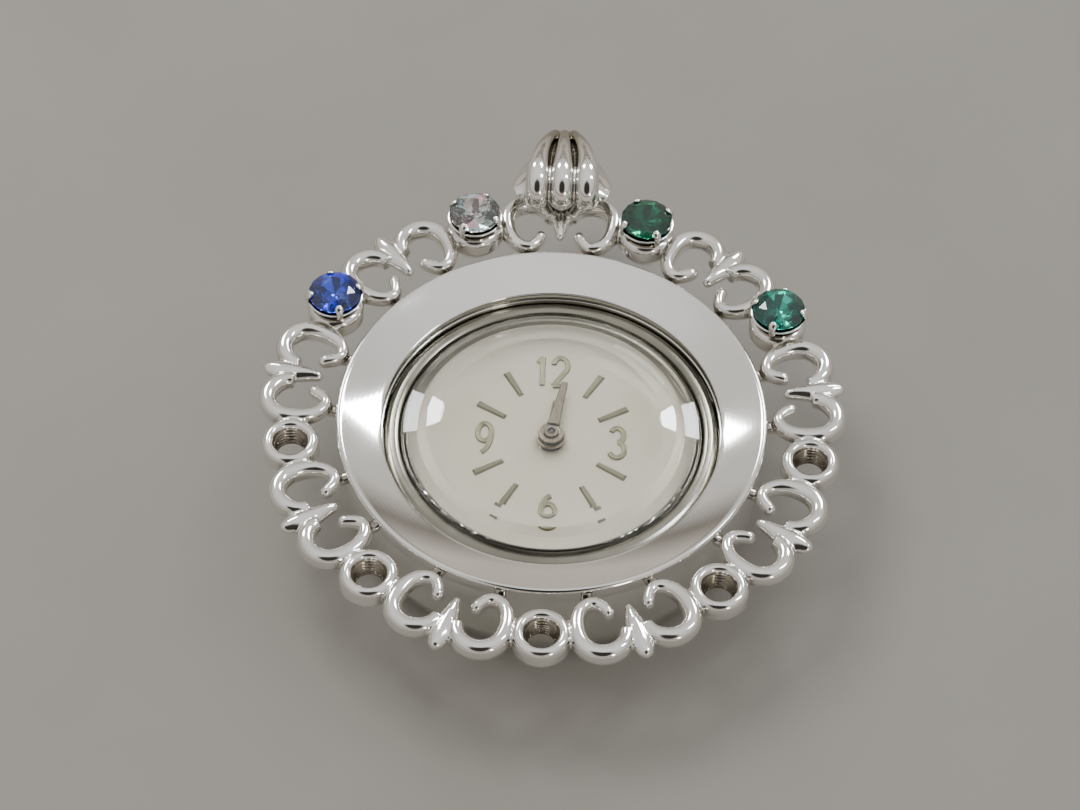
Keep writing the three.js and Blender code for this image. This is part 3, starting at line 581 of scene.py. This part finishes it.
# ---- case ---------------------------------------------------------------------------------------
def build_bezel():
    """A dished ring: a fine rim outside, a smooth slope down to the crystal seat inside."""
    rim_r, rim_z = BEZEL_R - 0.32, BEZEL_TOP - 0.03
    run, drop = 2.05, 0.84
    steps = 8
    slope = []
    for i in range(steps + 1):
        t = i / steps
        slope.append((rim_r - run * t, rim_z - drop * (1.1 * t - 0.1 * t * t)))
    step_z = BEZEL_BASE + 0.45
    profile = [
        (BEZEL_INNER_R, BEZEL_BASE), (BEZEL_STEP_R, BEZEL_BASE), (BEZEL_STEP_R, step_z), (BEZEL_R, step_z),
        (BEZEL_R, BEZEL_TOP - 0.12), (BEZEL_R - 0.12, BEZEL_TOP), (BEZEL_R - 0.24, BEZEL_TOP), *slope,
        (BEZEL_INNER_R, BEZEL_BASE + 0.36)]
    piece("bezel_turned", turned_ring(profile), POLISHED, "case", ["bezel"], 60)


def build_case_middle():
    """The case wall, with a step for the back below and one for the bezel above."""
    profile = [
        (9.25, 0.6), (9.98, 0.6), (9.98, 0.35), (10.4, 0.4), (10.95, 0.9), (11.25, 1.9), (11.25, 5.73),
        (10.8, 5.73), (10.8, 5.3), (9.0, 5.3), (9.0, 4.9), (9.25, 4.9)]
    wall = turned_ring(profile, 0.08)
    piece("case_middle_turned", wall, POLISHED, "case", ["case_middle"], 50)


def build_case_back():
    """A snap-on back with one fine turned line near its rim."""
    profile = [
        (0, 0), (8.7, 0), (8.74, 0.03), (8.78, 0), (9.0, 0), (9.65, 0.12), (9.9, 0.35), (9.9, 0.5),
        (9.1, 0.5), (9.1, 1.15), (8.75, 1.15), (8.75, 0.5), (0, 0.5)]
    cover = turned(rounded(profile, 0.06))
    piece("case_back_turned", cover, POLISHED, "case", ["case_back"], 50)


def build_crystal_ring():
    """The ring between crystal and bezel: a rounded band with a groove on each side."""
    base, top = SEAT_BASE, SEAT_TOP
    profile = [
        (7.6, base), (8.95, base), (8.95, top - 0.3), (8.82, top - 0.12), (8.6, top - 0.03), (8.35, top),
        (8.15, top - 0.08), (8.05, top - 0.3), (7.6, top - 0.3)]
    piece("crystal_seat", turned_ring(profile), DULL_METAL, "case", ["crystal_ring"], 50)


def build_crystal():
    """A low dome with a cut edge: a plain sloping rim, then two rows of flat facets up to the table."""
    count = CRYSTAL_FACETS
    per_facet = 4
    fine = count * per_facet
    middle_r = 6.7              # where the two rows of facets meet
    table_r, table_drop = 5.95, 0.12
    shell = Shell()
    bottom = shell.circle(CRYSTAL_R - 0.15, CRYSTAL_BASE, fine)
    girdle = shell.circle(CRYSTAL_R, CRYSTAL_BASE + 0.1, fine)
    upper = shell.circle(CRYSTAL_R, CRYSTAL_BASE + 0.26, fine)
    rim = shell.circle(CRYSTAL_R - 0.75, CRYSTAL_BASE + 0.38, fine)
    outer = shell.circle(middle_r, CRYSTAL_TOP - 0.25, count, 0.5)
    inner = shell.circle(table_r, CRYSTAL_TOP - 0.13, count)
    shell.bridge(bottom, girdle)
    shell.bridge(girdle, upper)
    shell.bridge(upper, rim)
    first_facet = len(shell.faces)
    for i in range(count):
        j = (i + 1) % count
        edge = [rim[(i * per_facet + k) % fine] for k in range(per_facet + 1)]
        for k in range(per_facet):
            shell.faces.append((edge[k], edge[k + 1], outer[i]))
        shell.faces.append((edge[-1], outer[j], outer[i]))
        shell.faces.append((outer[i], inner[j], inner[i]))
        shell.faces.append((outer[i], outer[j], inner[j]))
    end_facet = len(shell.faces)
    last = inner
    for radius in (5.85, 5.0, 4.0, 3.0, 2.0, 1.0):
        dome = shell.circle(radius, CRYSTAL_TOP - table_drop * (radius / table_r) ** 2, count)
        shell.bridge(last, dome)
        last = dome
    shell.faces.append(tuple(last))
    shell.faces.append(tuple(reversed(bottom)))
    made = piece("crystal_cut", shell, CRYSTAL, "case", ["crystal"], 3.2)
    made.data.materials.append(CUT_EDGE)
    for face in made.data.polygons[first_facet:end_facet]:
        face.material_index = 1


# ---- dial and hands -----------------------------------------------------------------------------
DIAL_FACE = DIAL_TOP - 0.02
MARKER_TOP = DIAL_TOP + 0.1
TRACK_HALF_WIDE = 3.55      # the hours stand on an oval
TRACK_HALF_HIGH = 4.65
SIX_DOWN = 4.3              # the shorter 6 sits nearer the centre, inside the crystal's facets
DIAL_HOLE_R = 0.72


def build_dial():
    """A thin disc with a hole for the hands' pipes."""
    profile = [
        (DIAL_HOLE_R, DIAL_BASE), (DIAL_R, DIAL_BASE), (DIAL_R, DIAL_FACE), (DIAL_HOLE_R, DIAL_FACE)]
    piece("dial_disc", turned_ring(profile, 0.03), DIAL, "case", ["dial"], 40)


def baton():
    """An hour mark along X, a little wider at its outer end."""
    end = 1.75 / 2
    inner_half, outer_half = 0.17 * 0.85, 0.17 * 1.1
    outline = [(-end, -inner_half), (end, -outer_half), (end, outer_half), (-end, inner_half)]
    return extruded(outline, DIAL_FACE - 0.04, MARKER_TOP, 0.07)


def arc(cx, cy, rx, ry, start, end, steps=20):
    """Points along part of an ellipse, between two angles in degrees."""
    points = []
    for i in range(steps + 1):
        c, s = polar(1, start + (end - start) * i / steps)
        points.append((cx + rx * c, cy + ry * s))
    return points


def line(x0, y0, x1, y1, steps=6):
    """Points along a straight stroke."""
    return [(x0 + (x1 - x0) * i / steps, y0 + (y1 - y0) * i / steps) for i in range(steps + 1)]


# Strokes of each numeral in a box one unit wide and high.
DIGITS = {
    "one": [line(-0.3, 0.3, 0.02, 0.5), line(0.02, 0.5, 0.02, -0.5)],
    "two": [
        arc(0, 0.2, 0.46, 0.3, 170, -30) + line(0.36, 0.03, -0.45, -0.48)[1:],
        line(-0.45, -0.5, 0.48, -0.5)],
    "three": [arc(-0.04, 0.26, 0.42, 0.24, 155, -85), arc(-0.04, -0.23, 0.48, 0.27, 85, -155)],
    "six": [arc(0, -0.2, 0.44, 0.3, 0, 360, 30), arc(0.42, -0.2, 0.86, 0.72, 178, 108)],
}
DIGIT_WIDE = 0.84
DIGIT_HIGH = 1.95
DIGIT_STROKE = 0.3
NUMERALS = (                # strokes, x, y, flip and height
    ("one", -0.64, TRACK_HALF_HIGH, 1, 1),
    ("two", 0.34, TRACK_HALF_HIGH, 1, 1),
    ("three", TRACK_HALF_WIDE, 0, 1, 1),
    ("six", 0, -SIX_DOWN, 1, 0.7),
    ("six", -TRACK_HALF_WIDE, 0, -1, 1))


def digit(name, flip, height):
    """One numeral, turned upside down where flip is -1."""
    shell = Shell()
    depth = (MARKER_TOP - DIAL_FACE) / 2 + 0.03
    for points in DIGITS[name]:
        path = [
            Vector((flip * x * DIGIT_WIDE, flip * y * DIGIT_HIGH * height, MARKER_TOP - depth))
            for x, y in points]
        shell.join(swept(path, lambda t: (DIGIT_STROKE / 2, depth), 12, 3.0))
    return shell


def build_markers():
    """Numerals at 12, 3, 6 and 9 and batons between them."""
    batons = Shell()
    for hour in (1, 2, 4, 5, 7, 8, 10, 11):
        at = 90 - 30 * hour
        unit_x, unit_y = polar(1, at)
        reach = 1 / math.hypot(unit_x / TRACK_HALF_WIDE, unit_y / TRACK_HALF_HIGH)
        batons.join(baton(), moved(unit_x * reach, unit_y * reach, 0, at))
    digits = Shell()
    for name, x, y, flip, height in NUMERALS:
        digits.join(digit(name, flip, height), moved(x, y))
    piece("hour_batons", batons, MARKERS, "case", (), 35)
    piece("hour_numerals", cast(digits, 0.03, 3), MARKERS, "case", (), 50)


def hand(node, length, root, tip, boss_r, hole_r, fall):
    """A flat tapered blade along X that swells towards a round boss, the more suddenly the smaller fall is.
    Root and tip are its half widths."""
    base, top = heights(node)
    foot = boss_r * 0.6
    steps = 8
    side = []
    for i in range(steps + 1):
        t = i / steps
        x = foot + (length - foot) * t
        side.append((x, root + (tip - root) * t ** fall))
    outline = [(x, -y) for x, y in side] + [(length + 0.06, 0)] + [(x, y) for x, y in reversed(side)]
    blade = extruded(outline, base, top, 0.05)
    boss = turned_ring([(hole_r, base), (boss_r, base), (boss_r, top), (hole_r, top)], segments=64)
    return blade.join(boss)


def build_hands():
    shapes = {
        "hour_hand": {"length": 2.42, "root": 0.5, "tip": 0.03, "boss_r": 0.78, "hole_r": 0.62, "fall": 0.4},
        "minute_hand": {"length": 3.5, "root": 0.4, "tip": 0.17, "boss_r": 0.67, "hole_r": 0.4, "fall": 0.55}}
    for node, at in (("hour_hand", HOUR_HAND_AT), ("minute_hand", MINUTE_HAND_AT)):
        shell = Shell().join(hand(node, **shapes[node]), moved(turn=at))
        piece(node + "_shaped", shell, HANDS, node, [node], 35)


# ---- openwork ring ------------------------------------------------------------------------------
def scroll(side):
    """One C-shaped scroll: stout beside the leaf's outer half, finer round to its blunt inner curl."""
    steps = 60
    curl_from = -180
    path = []
    for i in range(steps + 1):
        at = SCROLL_START + (SCROLL_END - SCROLL_START) * i / steps
        curl = smooth_step((curl_from - at) / (curl_from - SCROLL_END))
        radius = SCROLL_R - 0.28 * curl
        along, across = polar(radius, at)
        if along < 0:
            along *= SCROLL_STRETCH
        path.append(Vector((SCROLL_CENTRE_R + along, side * (SCROLL_OFFSET - across), RING_TOP - 0.54)))

    def section(t):
        tip = round_ends(max(t, 0.5), 0.1)
        swell = 0.41 + 0.1 * smooth_step(t / 0.2) - 0.17 * smooth_step((t - 0.5) / 0.36)
        return tip * swell, tip * (swell + 0.06)

    return swept(path, section, 24, 2.1)


def leaf():
    """A plump marquise leaf, widest beside the scrolls' stout ends, its blunt point outward."""
    steps = 30
    sides = 20
    rings = []
    for i in range(steps + 1):
        t = i / steps
        end = abs(2 * t - 1) ** 3
        blunt = round_ends(t, 0.16)
        half = (0.24 + 0.44 * math.sin(math.pi * t ** 1.4)) * blunt
        high = RING_TOP - 0.06 - 0.22 * end
        low = RING_TOP - 0.98 + 0.24 * end
        centre, reach = (high + low) / 2, (high - low) / 2 * blunt
        along = LEAF_INNER + (LEAF_OUTER - LEAF_INNER) * t
        points = []
        for side in range(sides):
            c, s = polar(1, 360 * side / sides)
            points.append((along, half * c, centre + reach * s * (1 - 0.22 * abs(c))))
        rings.append(points)
    return Shell().loft(rings)


def collet():
    """A round screw socket with a fat rolled edge."""
    foot = RING_TOP - 1.6
    crest = COLLET_HOLE_R + 0.3
    roll = 0.45                 # height of the rolled edge
    steps = 16
    profile = [(COLLET_HOLE_R, foot), (COLLET_R - 0.35, foot), (COLLET_R, RING_TOP - 1.0)]
    for i in range(steps + 1):
        across, up = polar(1, 180 * i / steps)
        reach = COLLET_R - crest if across > 0 else crest - COLLET_HOLE_R
        profile.append((crest + reach * across, RING_TOP - roll + roll * up))
    profile.append((COLLET_HOLE_R, foot))
    return turned(profile, 72)


def thread():
    """The ridges of the screw thread inside a collet."""
    ridges, steps = 5, 8
    top, low = RING_TOP - 0.34, RING_TOP - 1.56
    root, valley, depth = COLLET_HOLE_R + 0.2, COLLET_HOLE_R + 0.02, 0.1
    profile = [(root, low), (root, top)]
    for i in range(ridges * steps + 1):
        t = i / (ridges * steps)
        wave = 0.5 - 0.5 * math.cos(2 * math.pi * ridges * t)
        profile.append((valley - depth * wave, top + (low - top) * t))
    profile.append(profile[0])
    return turned(profile, 48)


def solder_tab(side):
    """The short bar that ties a scroll to the case."""
    root = 11.05                # just inside the bezel's wall
    path = [Vector((root + 0.1 * i, side * SCROLL_OFFSET, RING_TOP - 0.98)) for i in range(11)]
    return swept(path, lambda t: (0.34, 0.26), 16, 2.6)


def bail_lug():
    """The short arm that reaches out from the ring to the bail's pin."""
    half = 0.55
    root = 14.6
    outline = [(-half, root), (half, root), (half, PIN.y), (-half, PIN.y)]
    arm = extruded(outline, PIN.z - 0.45, PIN.z + 0.45)
    eye = rod(0.6, half, 0.12, 48)
    return arm.join(eye, Matrix.Translation((0, PIN.y, PIN.z)) @ STAND_ALONG_X)


def build_ring():
    """Nine sockets, with a pair of scrolls, a leaf and two tabs between each two, fused into one casting."""
    shell = Shell()
    threads = Shell()
    for i in range(COLLET_COUNT):
        at = COLLET_FIRST + UNIT_STEP * i
        socket = moved(*polar(COLLET_PITCH_R, at))
        shell.join(collet(), socket)
        threads.join(thread(), socket)
        turn = moved(turn=at + UNIT_STEP / 2)
        for part in (scroll(1), scroll(-1), leaf(), solder_tab(1), solder_tab(-1)):
            shell.join(part, turn)
    shell.join(bail_lug())
    fused = cast(shell, 0.07, 4)
    piece("openwork_scrolls", fused, CAST_METAL, "case", ["openwork_ring"], 70)
    piece("collet_threads", threads, SHADED_THREAD_METAL, "case", (), 50)


# ---- birthstones --------------------------------------------------------------------------------
CLAW_ANGLES = (45, 135, 225, 315)
CLAW_HEIGHT = 0.85
CLAW_SHAPE = (              # share of the height, distance from the stone's axis, half width
    (0, 1.42, 0.16), (0.2, 1.46, 0.17), (0.42, 1.5, 0.17), (0.6, 1.5, 0.18), (0.74, 1.44, 0.21),
    (0.86, 1.35, 0.22), (0.95, 1.28, 0.16), (1.0, 1.25, 0.05))
GIRDLE_LOW, GIRDLE_HIGH = CULET_Z + 0.67, CULET_Z + 0.77


def claw(at):
    """A claw that rises beside the stone and bends over its edge in a ball tip."""
    outward_way = Vector((*polar(1, at), 0))
    sideways = Vector((-outward_way.y, outward_way.x, 0))
    foot = CLAW_TOP - CLAW_HEIGHT
    sides = 16
    rings = []
    for t, out, width in CLAW_SHAPE:
        centre = outward_way * out + Vector((0, 0, foot + CLAW_HEIGHT * t))
        points = []
        for k in range(sides):
            c, s = polar(1, 360 * k / sides)
            points.append(centre + outward_way * (0.7 * width * c) + sideways * (width * s))
        rings.append(points)
    return Shell().loft(rings)


def setting():
    """A screw-in head: plain stem, flange, cup and four claws."""
    seat = RING_TOP + 0.02
    cup = CULET_Z + 0.41
    profile = [
        (0, STEM_FOOT_Z), (0.78, STEM_FOOT_Z), (0.78, seat), (1.12, seat), (1.16, seat + 0.1),
        (1.2, seat + 0.22), (1.34, seat + 0.42), (1.5, cup - 0.02), (1.52, cup + 0.05), (1.4, cup + 0.08),
        (0.7, cup - 0.2), (0, CULET_Z - 0.06)]
    shell = turned(rounded(profile, 0.05), 64)
    for at in CLAW_ANGLES:
        shell.join(claw(at))
    return shell


def brilliant():
    """A round brilliant cut: the clear front down to the girdle, and the mirrored back below it."""
    star_z = TABLE_Z - (TABLE_Z - GIRDLE_HIGH) * 0.46
    half_z = GIRDLE_LOW + (CULET_Z - GIRDLE_LOW) * 0.62
    shell = Shell()
    table = shell.circle(0.8, TABLE_Z, 8)
    star = shell.circle(1.14, star_z, 8, 0.5)
    upper = shell.circle(STONE_R, GIRDLE_HIGH, 16)
    lower = shell.circle(STONE_R, GIRDLE_LOW, 16)
    half = shell.circle(STONE_R * 0.4, half_z, 8)
    culet = shell.ring([(0, 0, CULET_Z)])[0]
    front = [tuple(table)]
    back = []
    for i in range(8):
        j = (i + 1) % 8
        a, b, c = upper[2 * i], upper[2 * i + 1], upper[2 * j]
        low_a, low_b, low_c = lower[2 * i], lower[2 * i + 1], lower[2 * j]
        front += [
            (table[j], table[i], star[i]), (table[i], star[i - 1], a, star[i]),
            (star[i], a, b), (star[i], b, c), (a, low_a, low_b, b), (b, low_b, low_c, c)]
        back += [
            (half[i], low_b, low_a), (half[j], low_c, low_b), (half[i], half[j], low_b),
            (culet, half[j], half[i])]
    shell.faces = front + back
    return shell, len(front)


def build_birthstones():
    head = setting()
    stone, front_count = brilliant()
    for colour, place in STONE_PLACES.items():
        at = math.degrees(math.atan2(place.y, place.x))
        socket = moved(place.x, place.y, 0, at)
        body = colour + "_setting"
        stone_node = colour + "_stone"
        piece(
            colour + "_head", Shell().join(head, socket), CAST_METAL, body,
            [stone_node + "_setting"], 40)
        made = piece(
            colour + "_brilliant", Shell().join(stone, socket), GEMS[colour], body,
            [stone_node], smooth=False)
        made.data.materials.append(FOILS[colour])
        for face in made.data.polygons[front_count:]:
            face.material_index = 1


# ---- bail ---------------------------------------------------------------------------------------
SIDEWAYS = Vector((1, 0, 0))
RIB_REACH = 1.38
PIN_R = 0.3


def bail_rib(reach):
    """One of the three fat ribs, from its scalloped near end over the crest and down to the far tip."""
    knots = [                   # share of the reach sideways, y and z
        (1.0, 14.36, 0.42), (1.0, 14.38, 0.85), (1.0, 14.6, 1.28), (1.0, 15.05, 1.6), (1.0, 15.65, 1.74),
        (0.98, 16.2, 1.7), (0.92, 17.0, 1.56), (0.8, 17.8, 1.4), (0.62, 18.6, 1.13), (0.44, 19.3, 0.75),
        (0.36, 19.75, 0.42)]
    path = catmull([Vector((reach * k, y, RING_TOP + z)) for k, y, z in knots], 6)

    def section(t):
        swell = 1 - 0.58 * smooth_step((t - 0.35) / 0.65)
        blunt = round_ends(t, 0.12)
        return 0.66 * swell * blunt, 0.6 * swell * blunt

    return swept(path, section, 24, 2.0, SIDEWAYS)


def bail_skin():
    """The bail's smooth band: over the crest, down to the tip and back under as the lower leaf."""
    knots = [                   # half width, y, z and how far the edges fall
        (2.45, 14.46, 0.66, 0.12), (2.7, 14.6, 1.04, 0.45), (2.8, 15.15, 1.42, 0.86), (2.7, 16.1, 1.46, 1.0),
        (2.42, 16.9, 1.32, 1.0), (2.0, 17.7, 1.14, 0.9), (1.45, 18.5, 0.86, 0.7), (0.98, 19.3, 0.46, 0.4),
        (0.66, 20.0, 0.0, 0.12), (0.62, 19.9, -0.45, 0.1), (0.9, 19.3, -0.86, 0.12), (1.3, 18.5, -1.24, 0.15),
        (1.7, 17.6, -1.6, 0.15), (1.95, 17.05, -1.8, 0.15)]
    curve = catmull([Vector(knot) for knot in knots], 5)
    count = len(curve)
    columns = 20
    half_thick = 0.16
    rings = []
    for i, (half, y, z, fall) in enumerate(curve):
        along = curve[min(i + 1, count - 1)] - curve[max(i - 1, 0)]
        along = Vector((along.y, along.z)).normalized()
        normal = Vector((-along.y, along.x))
        ring = []
        for layer, order in ((half_thick, range(columns + 1)), (-half_thick, range(columns, -1, -1))):
            for k in order:
                share = 2 * k / columns - 1
                lift = layer - fall * abs(share) ** 2.2
                ring.append((share * half, y + normal.x * lift, RING_TOP + z + normal.y * lift))
        rings.append(ring)
    return Shell().loft(rings)


def bail_rail(side):
    """The side of the bail: from under the crest round the pin to the lower leaf."""
    knots = [                   # x, y and z
        (2.5, 16.0, 0.5), (2.5, 16.02, 0.2), (2.48, 16.08, -0.2), (2.43, 16.18, -0.65), (2.38, 16.4, -1.15),
        (2.2, 16.75, -1.55), (1.85, 17.3, -1.72)]
    path = catmull([Vector((side * x, y, RING_TOP + z)) for x, y, z in knots], 6)
    return swept(path, lambda t: (0.17, 0.4), 20, 2.4, SIDEWAYS)


def bail_eye(side):
    """The round boss on the side wall that the pin runs through."""
    eye = rod(0.52, 0.14, 0.1, 40)
    return Shell().join(eye, Matrix.Translation((side * 2.4, PIN.y, PIN.z)) @ STAND_ALONG_X)


def build_bail():
    shell = bail_skin()
    for reach in (-RIB_REACH, 0, RIB_REACH):
        shell.join(bail_rib(reach))
    for side in (-1, 1):
        shell.join(bail_rail(side))
        shell.join(bail_eye(side))
    piece("bail_ribbed", cast(shell, 0.06, 3), BAIL_METAL, "bail", ["bail"], 70)
    pin = Shell().join(rod(PIN_R, PIN_HALF, 0.08, 40), Matrix.Translation(PIN) @ STAND_ALONG_X)
    piece("bail_pin_turned", pin, STEEL, "bail", ["bail_pin"], 40)


# ---- crown --------------------------------------------------------------------------------------
CROWN_SHAPE = (             # distance along the stem and radius
    (0.0, 1.2), (0.05, 1.32), (0.2, 1.5), (0.35, 1.53), (1.2, 1.53), (1.38, 1.36), (1.5, 1.1), (1.57, 0.6))
FLUTE_DEPTH = 0.12
FLUTED_FROM_R = 1.25        # the flutes grow from nothing at this radius
FLUTED_OVER = 0.28          # to their full depth this much further out


def build_crown():
    """A fluted winding crown with rounded ends."""
    foot = span("crown")[0].y
    axis_z = middle("crown").z
    flutes, per_flute = 20, 8
    around = flutes * per_flute
    rings = []
    for along, radius in CROWN_SHAPE:
        depth = FLUTE_DEPTH * max(0.0, radius - FLUTED_FROM_R) / FLUTED_OVER
        points = []
        for i in range(around):
            groove = depth * (0.5 - 0.5 * math.cos(2 * math.pi * i / per_flute))
            x, z = polar(radius - groove, 360 * i / around)
            points.append((x, foot + along, axis_z + z))
        rings.append(points)
    piece("crown_fluted", Shell().loft(rings), POLISHED, "crown", ["crown"], 40)


# ---- pieces that keep their CAD shape -----------------------------------------------------------
CARRIED = {"cannon_pinion": HANDS, "hour_wheel": HOUR_WHEEL, "centre_wheel": CENTRE_WHEEL}
for brass_node in ("minute_wheel", "mainspring_barrel", "third_wheel", "fourth_wheel", "balance_wheel"):
    CARRIED[brass_node] = BRASS
for nickel_node in ("movement_ring", "main_plate", "barrel_bridge", "train_bridge", "balance_cock"):
    CARRIED[nickel_node] = NICKEL


def dress_carried():
    """Gives every CAD node that still shows its metal or ruby. All that isn't listed is steel."""
    for name, node in nodes.items():
        if node.hide_render:
            continue
        node.data.materials.clear()
        node.data.materials.append(RUBY if name.endswith("_jewel") else CARRIED.get(name, STEEL))


# ---- stage, light and camera --------------------------------------------------------------------
FLOOR_HALF = 1.2            # metres
DARK_PATCH_WAY = (0.0, -0.616, 0.788)
LIGHTS = (                  # name, direction, metres away, size in metres, watts, colour, seen mirrored
    ("overhead", (-0.35, 0.3, 0.89), 0.3, (0.12, 0.12), 0.3, (1, 0.985, 0.96), False),
    ("left_window", (-0.38, 0.62, 0.68), 0.3, (0.06, 0.06), 0.28, (0.96, 0.98, 1), True),
    ("right_window", (0.38, 0.62, 0.68), 0.3, (0.07, 0.06), 0.42, (0.93, 0.96, 1), True),
    ("streak", (0.57, 0.14, 0.81), 0.26, (0.02, 0.07), 0.2, (0.8, 0.86, 1), True),
    ("front", (0.5, -0.75, 0.42), 0.32, (0.04, 0.04), 0.08, (1, 0.95, 0.85), True))


def build_floor():
    """A plain pale floor, just below the case back so that the two don't lie in one plane."""
    z = CAD_BOX[0].z - 0.01 * MM
    mesh = bpy.data.meshes.new("floor")
    corners = [(x * FLOOR_HALF, y * FLOOR_HALF, z) for x, y in ((-1, -1), (1, -1), (1, 1), (-1, 1))]
    mesh.from_pydata(corners, [], [(0, 1, 2, 3)])
    material, tree, links, shader = new_material("floor", Roughness=0.8)
    tone = noise(tree, links, 60.0, 3.0)
    links.new(ramp(tree, links, tone, [(0.3, (0.36, 0.345, 0.315, 1)), (0.7, (0.385, 0.37, 0.34, 1))]),
              shader.inputs["Base Color"])
    mesh.materials.append(material)
    floor = bpy.data.objects.new("floor", mesh)
    bpy.context.scene.collection.objects.link(floor)


def build_world():
    """A pale room: a warm horizon, a darker band above it, a white ceiling and a dark patch high in front."""
    world = bpy.data.worlds.new("studio")
    bpy.context.scene.world = world
    world.use_nodes = True
    tree, links = world.node_tree.nodes, world.node_tree.links
    place = tree.new("ShaderNodeTexCoord")
    split = tree.new("ShaderNodeSeparateXYZ")
    links.new(place.outputs["Generated"], split.inputs["Vector"])
    room = ramp(tree, links, split.outputs["Z"], [
        (0.0, (0.4, 0.37, 0.33, 1)), (0.05, (0.6, 0.54, 0.47, 1)), (0.22, (0.66, 0.61, 0.55, 1)),
        (0.32, (0.22, 0.2, 0.175, 1)), (0.42, (0.72, 0.69, 0.65, 1)), (0.75, (0.8, 0.79, 0.77, 1)),
        (1.0, (1.0, 1.0, 1.0, 1))])
    towards = tree.new("ShaderNodeVectorMath")
    towards.operation = "DOT_PRODUCT"
    towards.inputs[1].default_value = DARK_PATCH_WAY
    links.new(place.outputs["Generated"], towards.inputs[0])
    patch = ramp(tree, links, towards.outputs["Value"], [(0.87, WHITE), (0.94, (0.05, 0.045, 0.04, 1))])
    links.new(multiplied(tree, links, room, patch), tree["Background"].inputs["Color"])
    tree["Background"].inputs["Strength"].default_value = 1.0


def build_lights():
    """Soft panels: one overhead that lights the surfaces, and four smaller ones seen only in reflections."""
    for name, way, distance, size, power, colour, mirrored in LIGHTS:
        data = bpy.data.lights.new(name, "AREA")
        data.shape = "RECTANGLE"
        data.size, data.size_y = size
        data.energy = power
        data.color = colour
        light = bpy.data.objects.new(name, data)
        bpy.context.scene.collection.objects.link(light)
        light.visible_glossy = mirrored
        light.visible_diffuse = not mirrored
        light.location = Vector(way).normalized() * distance
        light.rotation_euler = (-light.location).to_track_quat("-Z", "Y").to_euler()


ELEVATION, AZIMUTH, ROLL = 52.04, -1.416, -1.081   # degrees
AIM = Vector((0.62, -0.393, 165.5))     # the ring's centre seen from the camera: right, up and away
FOCAL_LENGTH = 104.09


def build_camera():
    """A short telephoto view from the 6 o'clock side."""
    elevation = math.radians(ELEVATION)
    tilt = Matrix((
        (1, 0, 0),
        (0, math.sin(elevation), math.cos(elevation)),
        (0, math.cos(elevation), -math.sin(elevation))))
    roll = Matrix.Rotation(math.radians(ROLL), 3, "Z")
    turn = roll @ tilt @ Matrix.Rotation(math.radians(AZIMUTH), 3, "Z")
    place = -(turn.transposed() @ AIM) + Vector((0, 0, RING_TOP))
    right, up, forward = turn
    basis = Matrix((right, up, -forward)).transposed()
    data = bpy.data.cameras.new("camera")
    data.lens = FOCAL_LENGTH
    data.sensor_width = 36
    data.clip_start = 0.005
    data.clip_end = 10
    camera = bpy.data.objects.new("camera", data)
    bpy.context.scene.collection.objects.link(camera)
    camera.matrix_world = Matrix.Translation(place * MM) @ basis.to_4x4()
    bpy.context.scene.camera = camera


build_camera()
build_floor()
build_world()
build_lights()
build_bezel()
build_case_middle()
build_case_back()
build_crystal_ring()
build_crystal()
build_dial()
build_markers()
build_hands()
build_ring()
build_birthstones()
build_bail()
build_crown()
dress_carried()
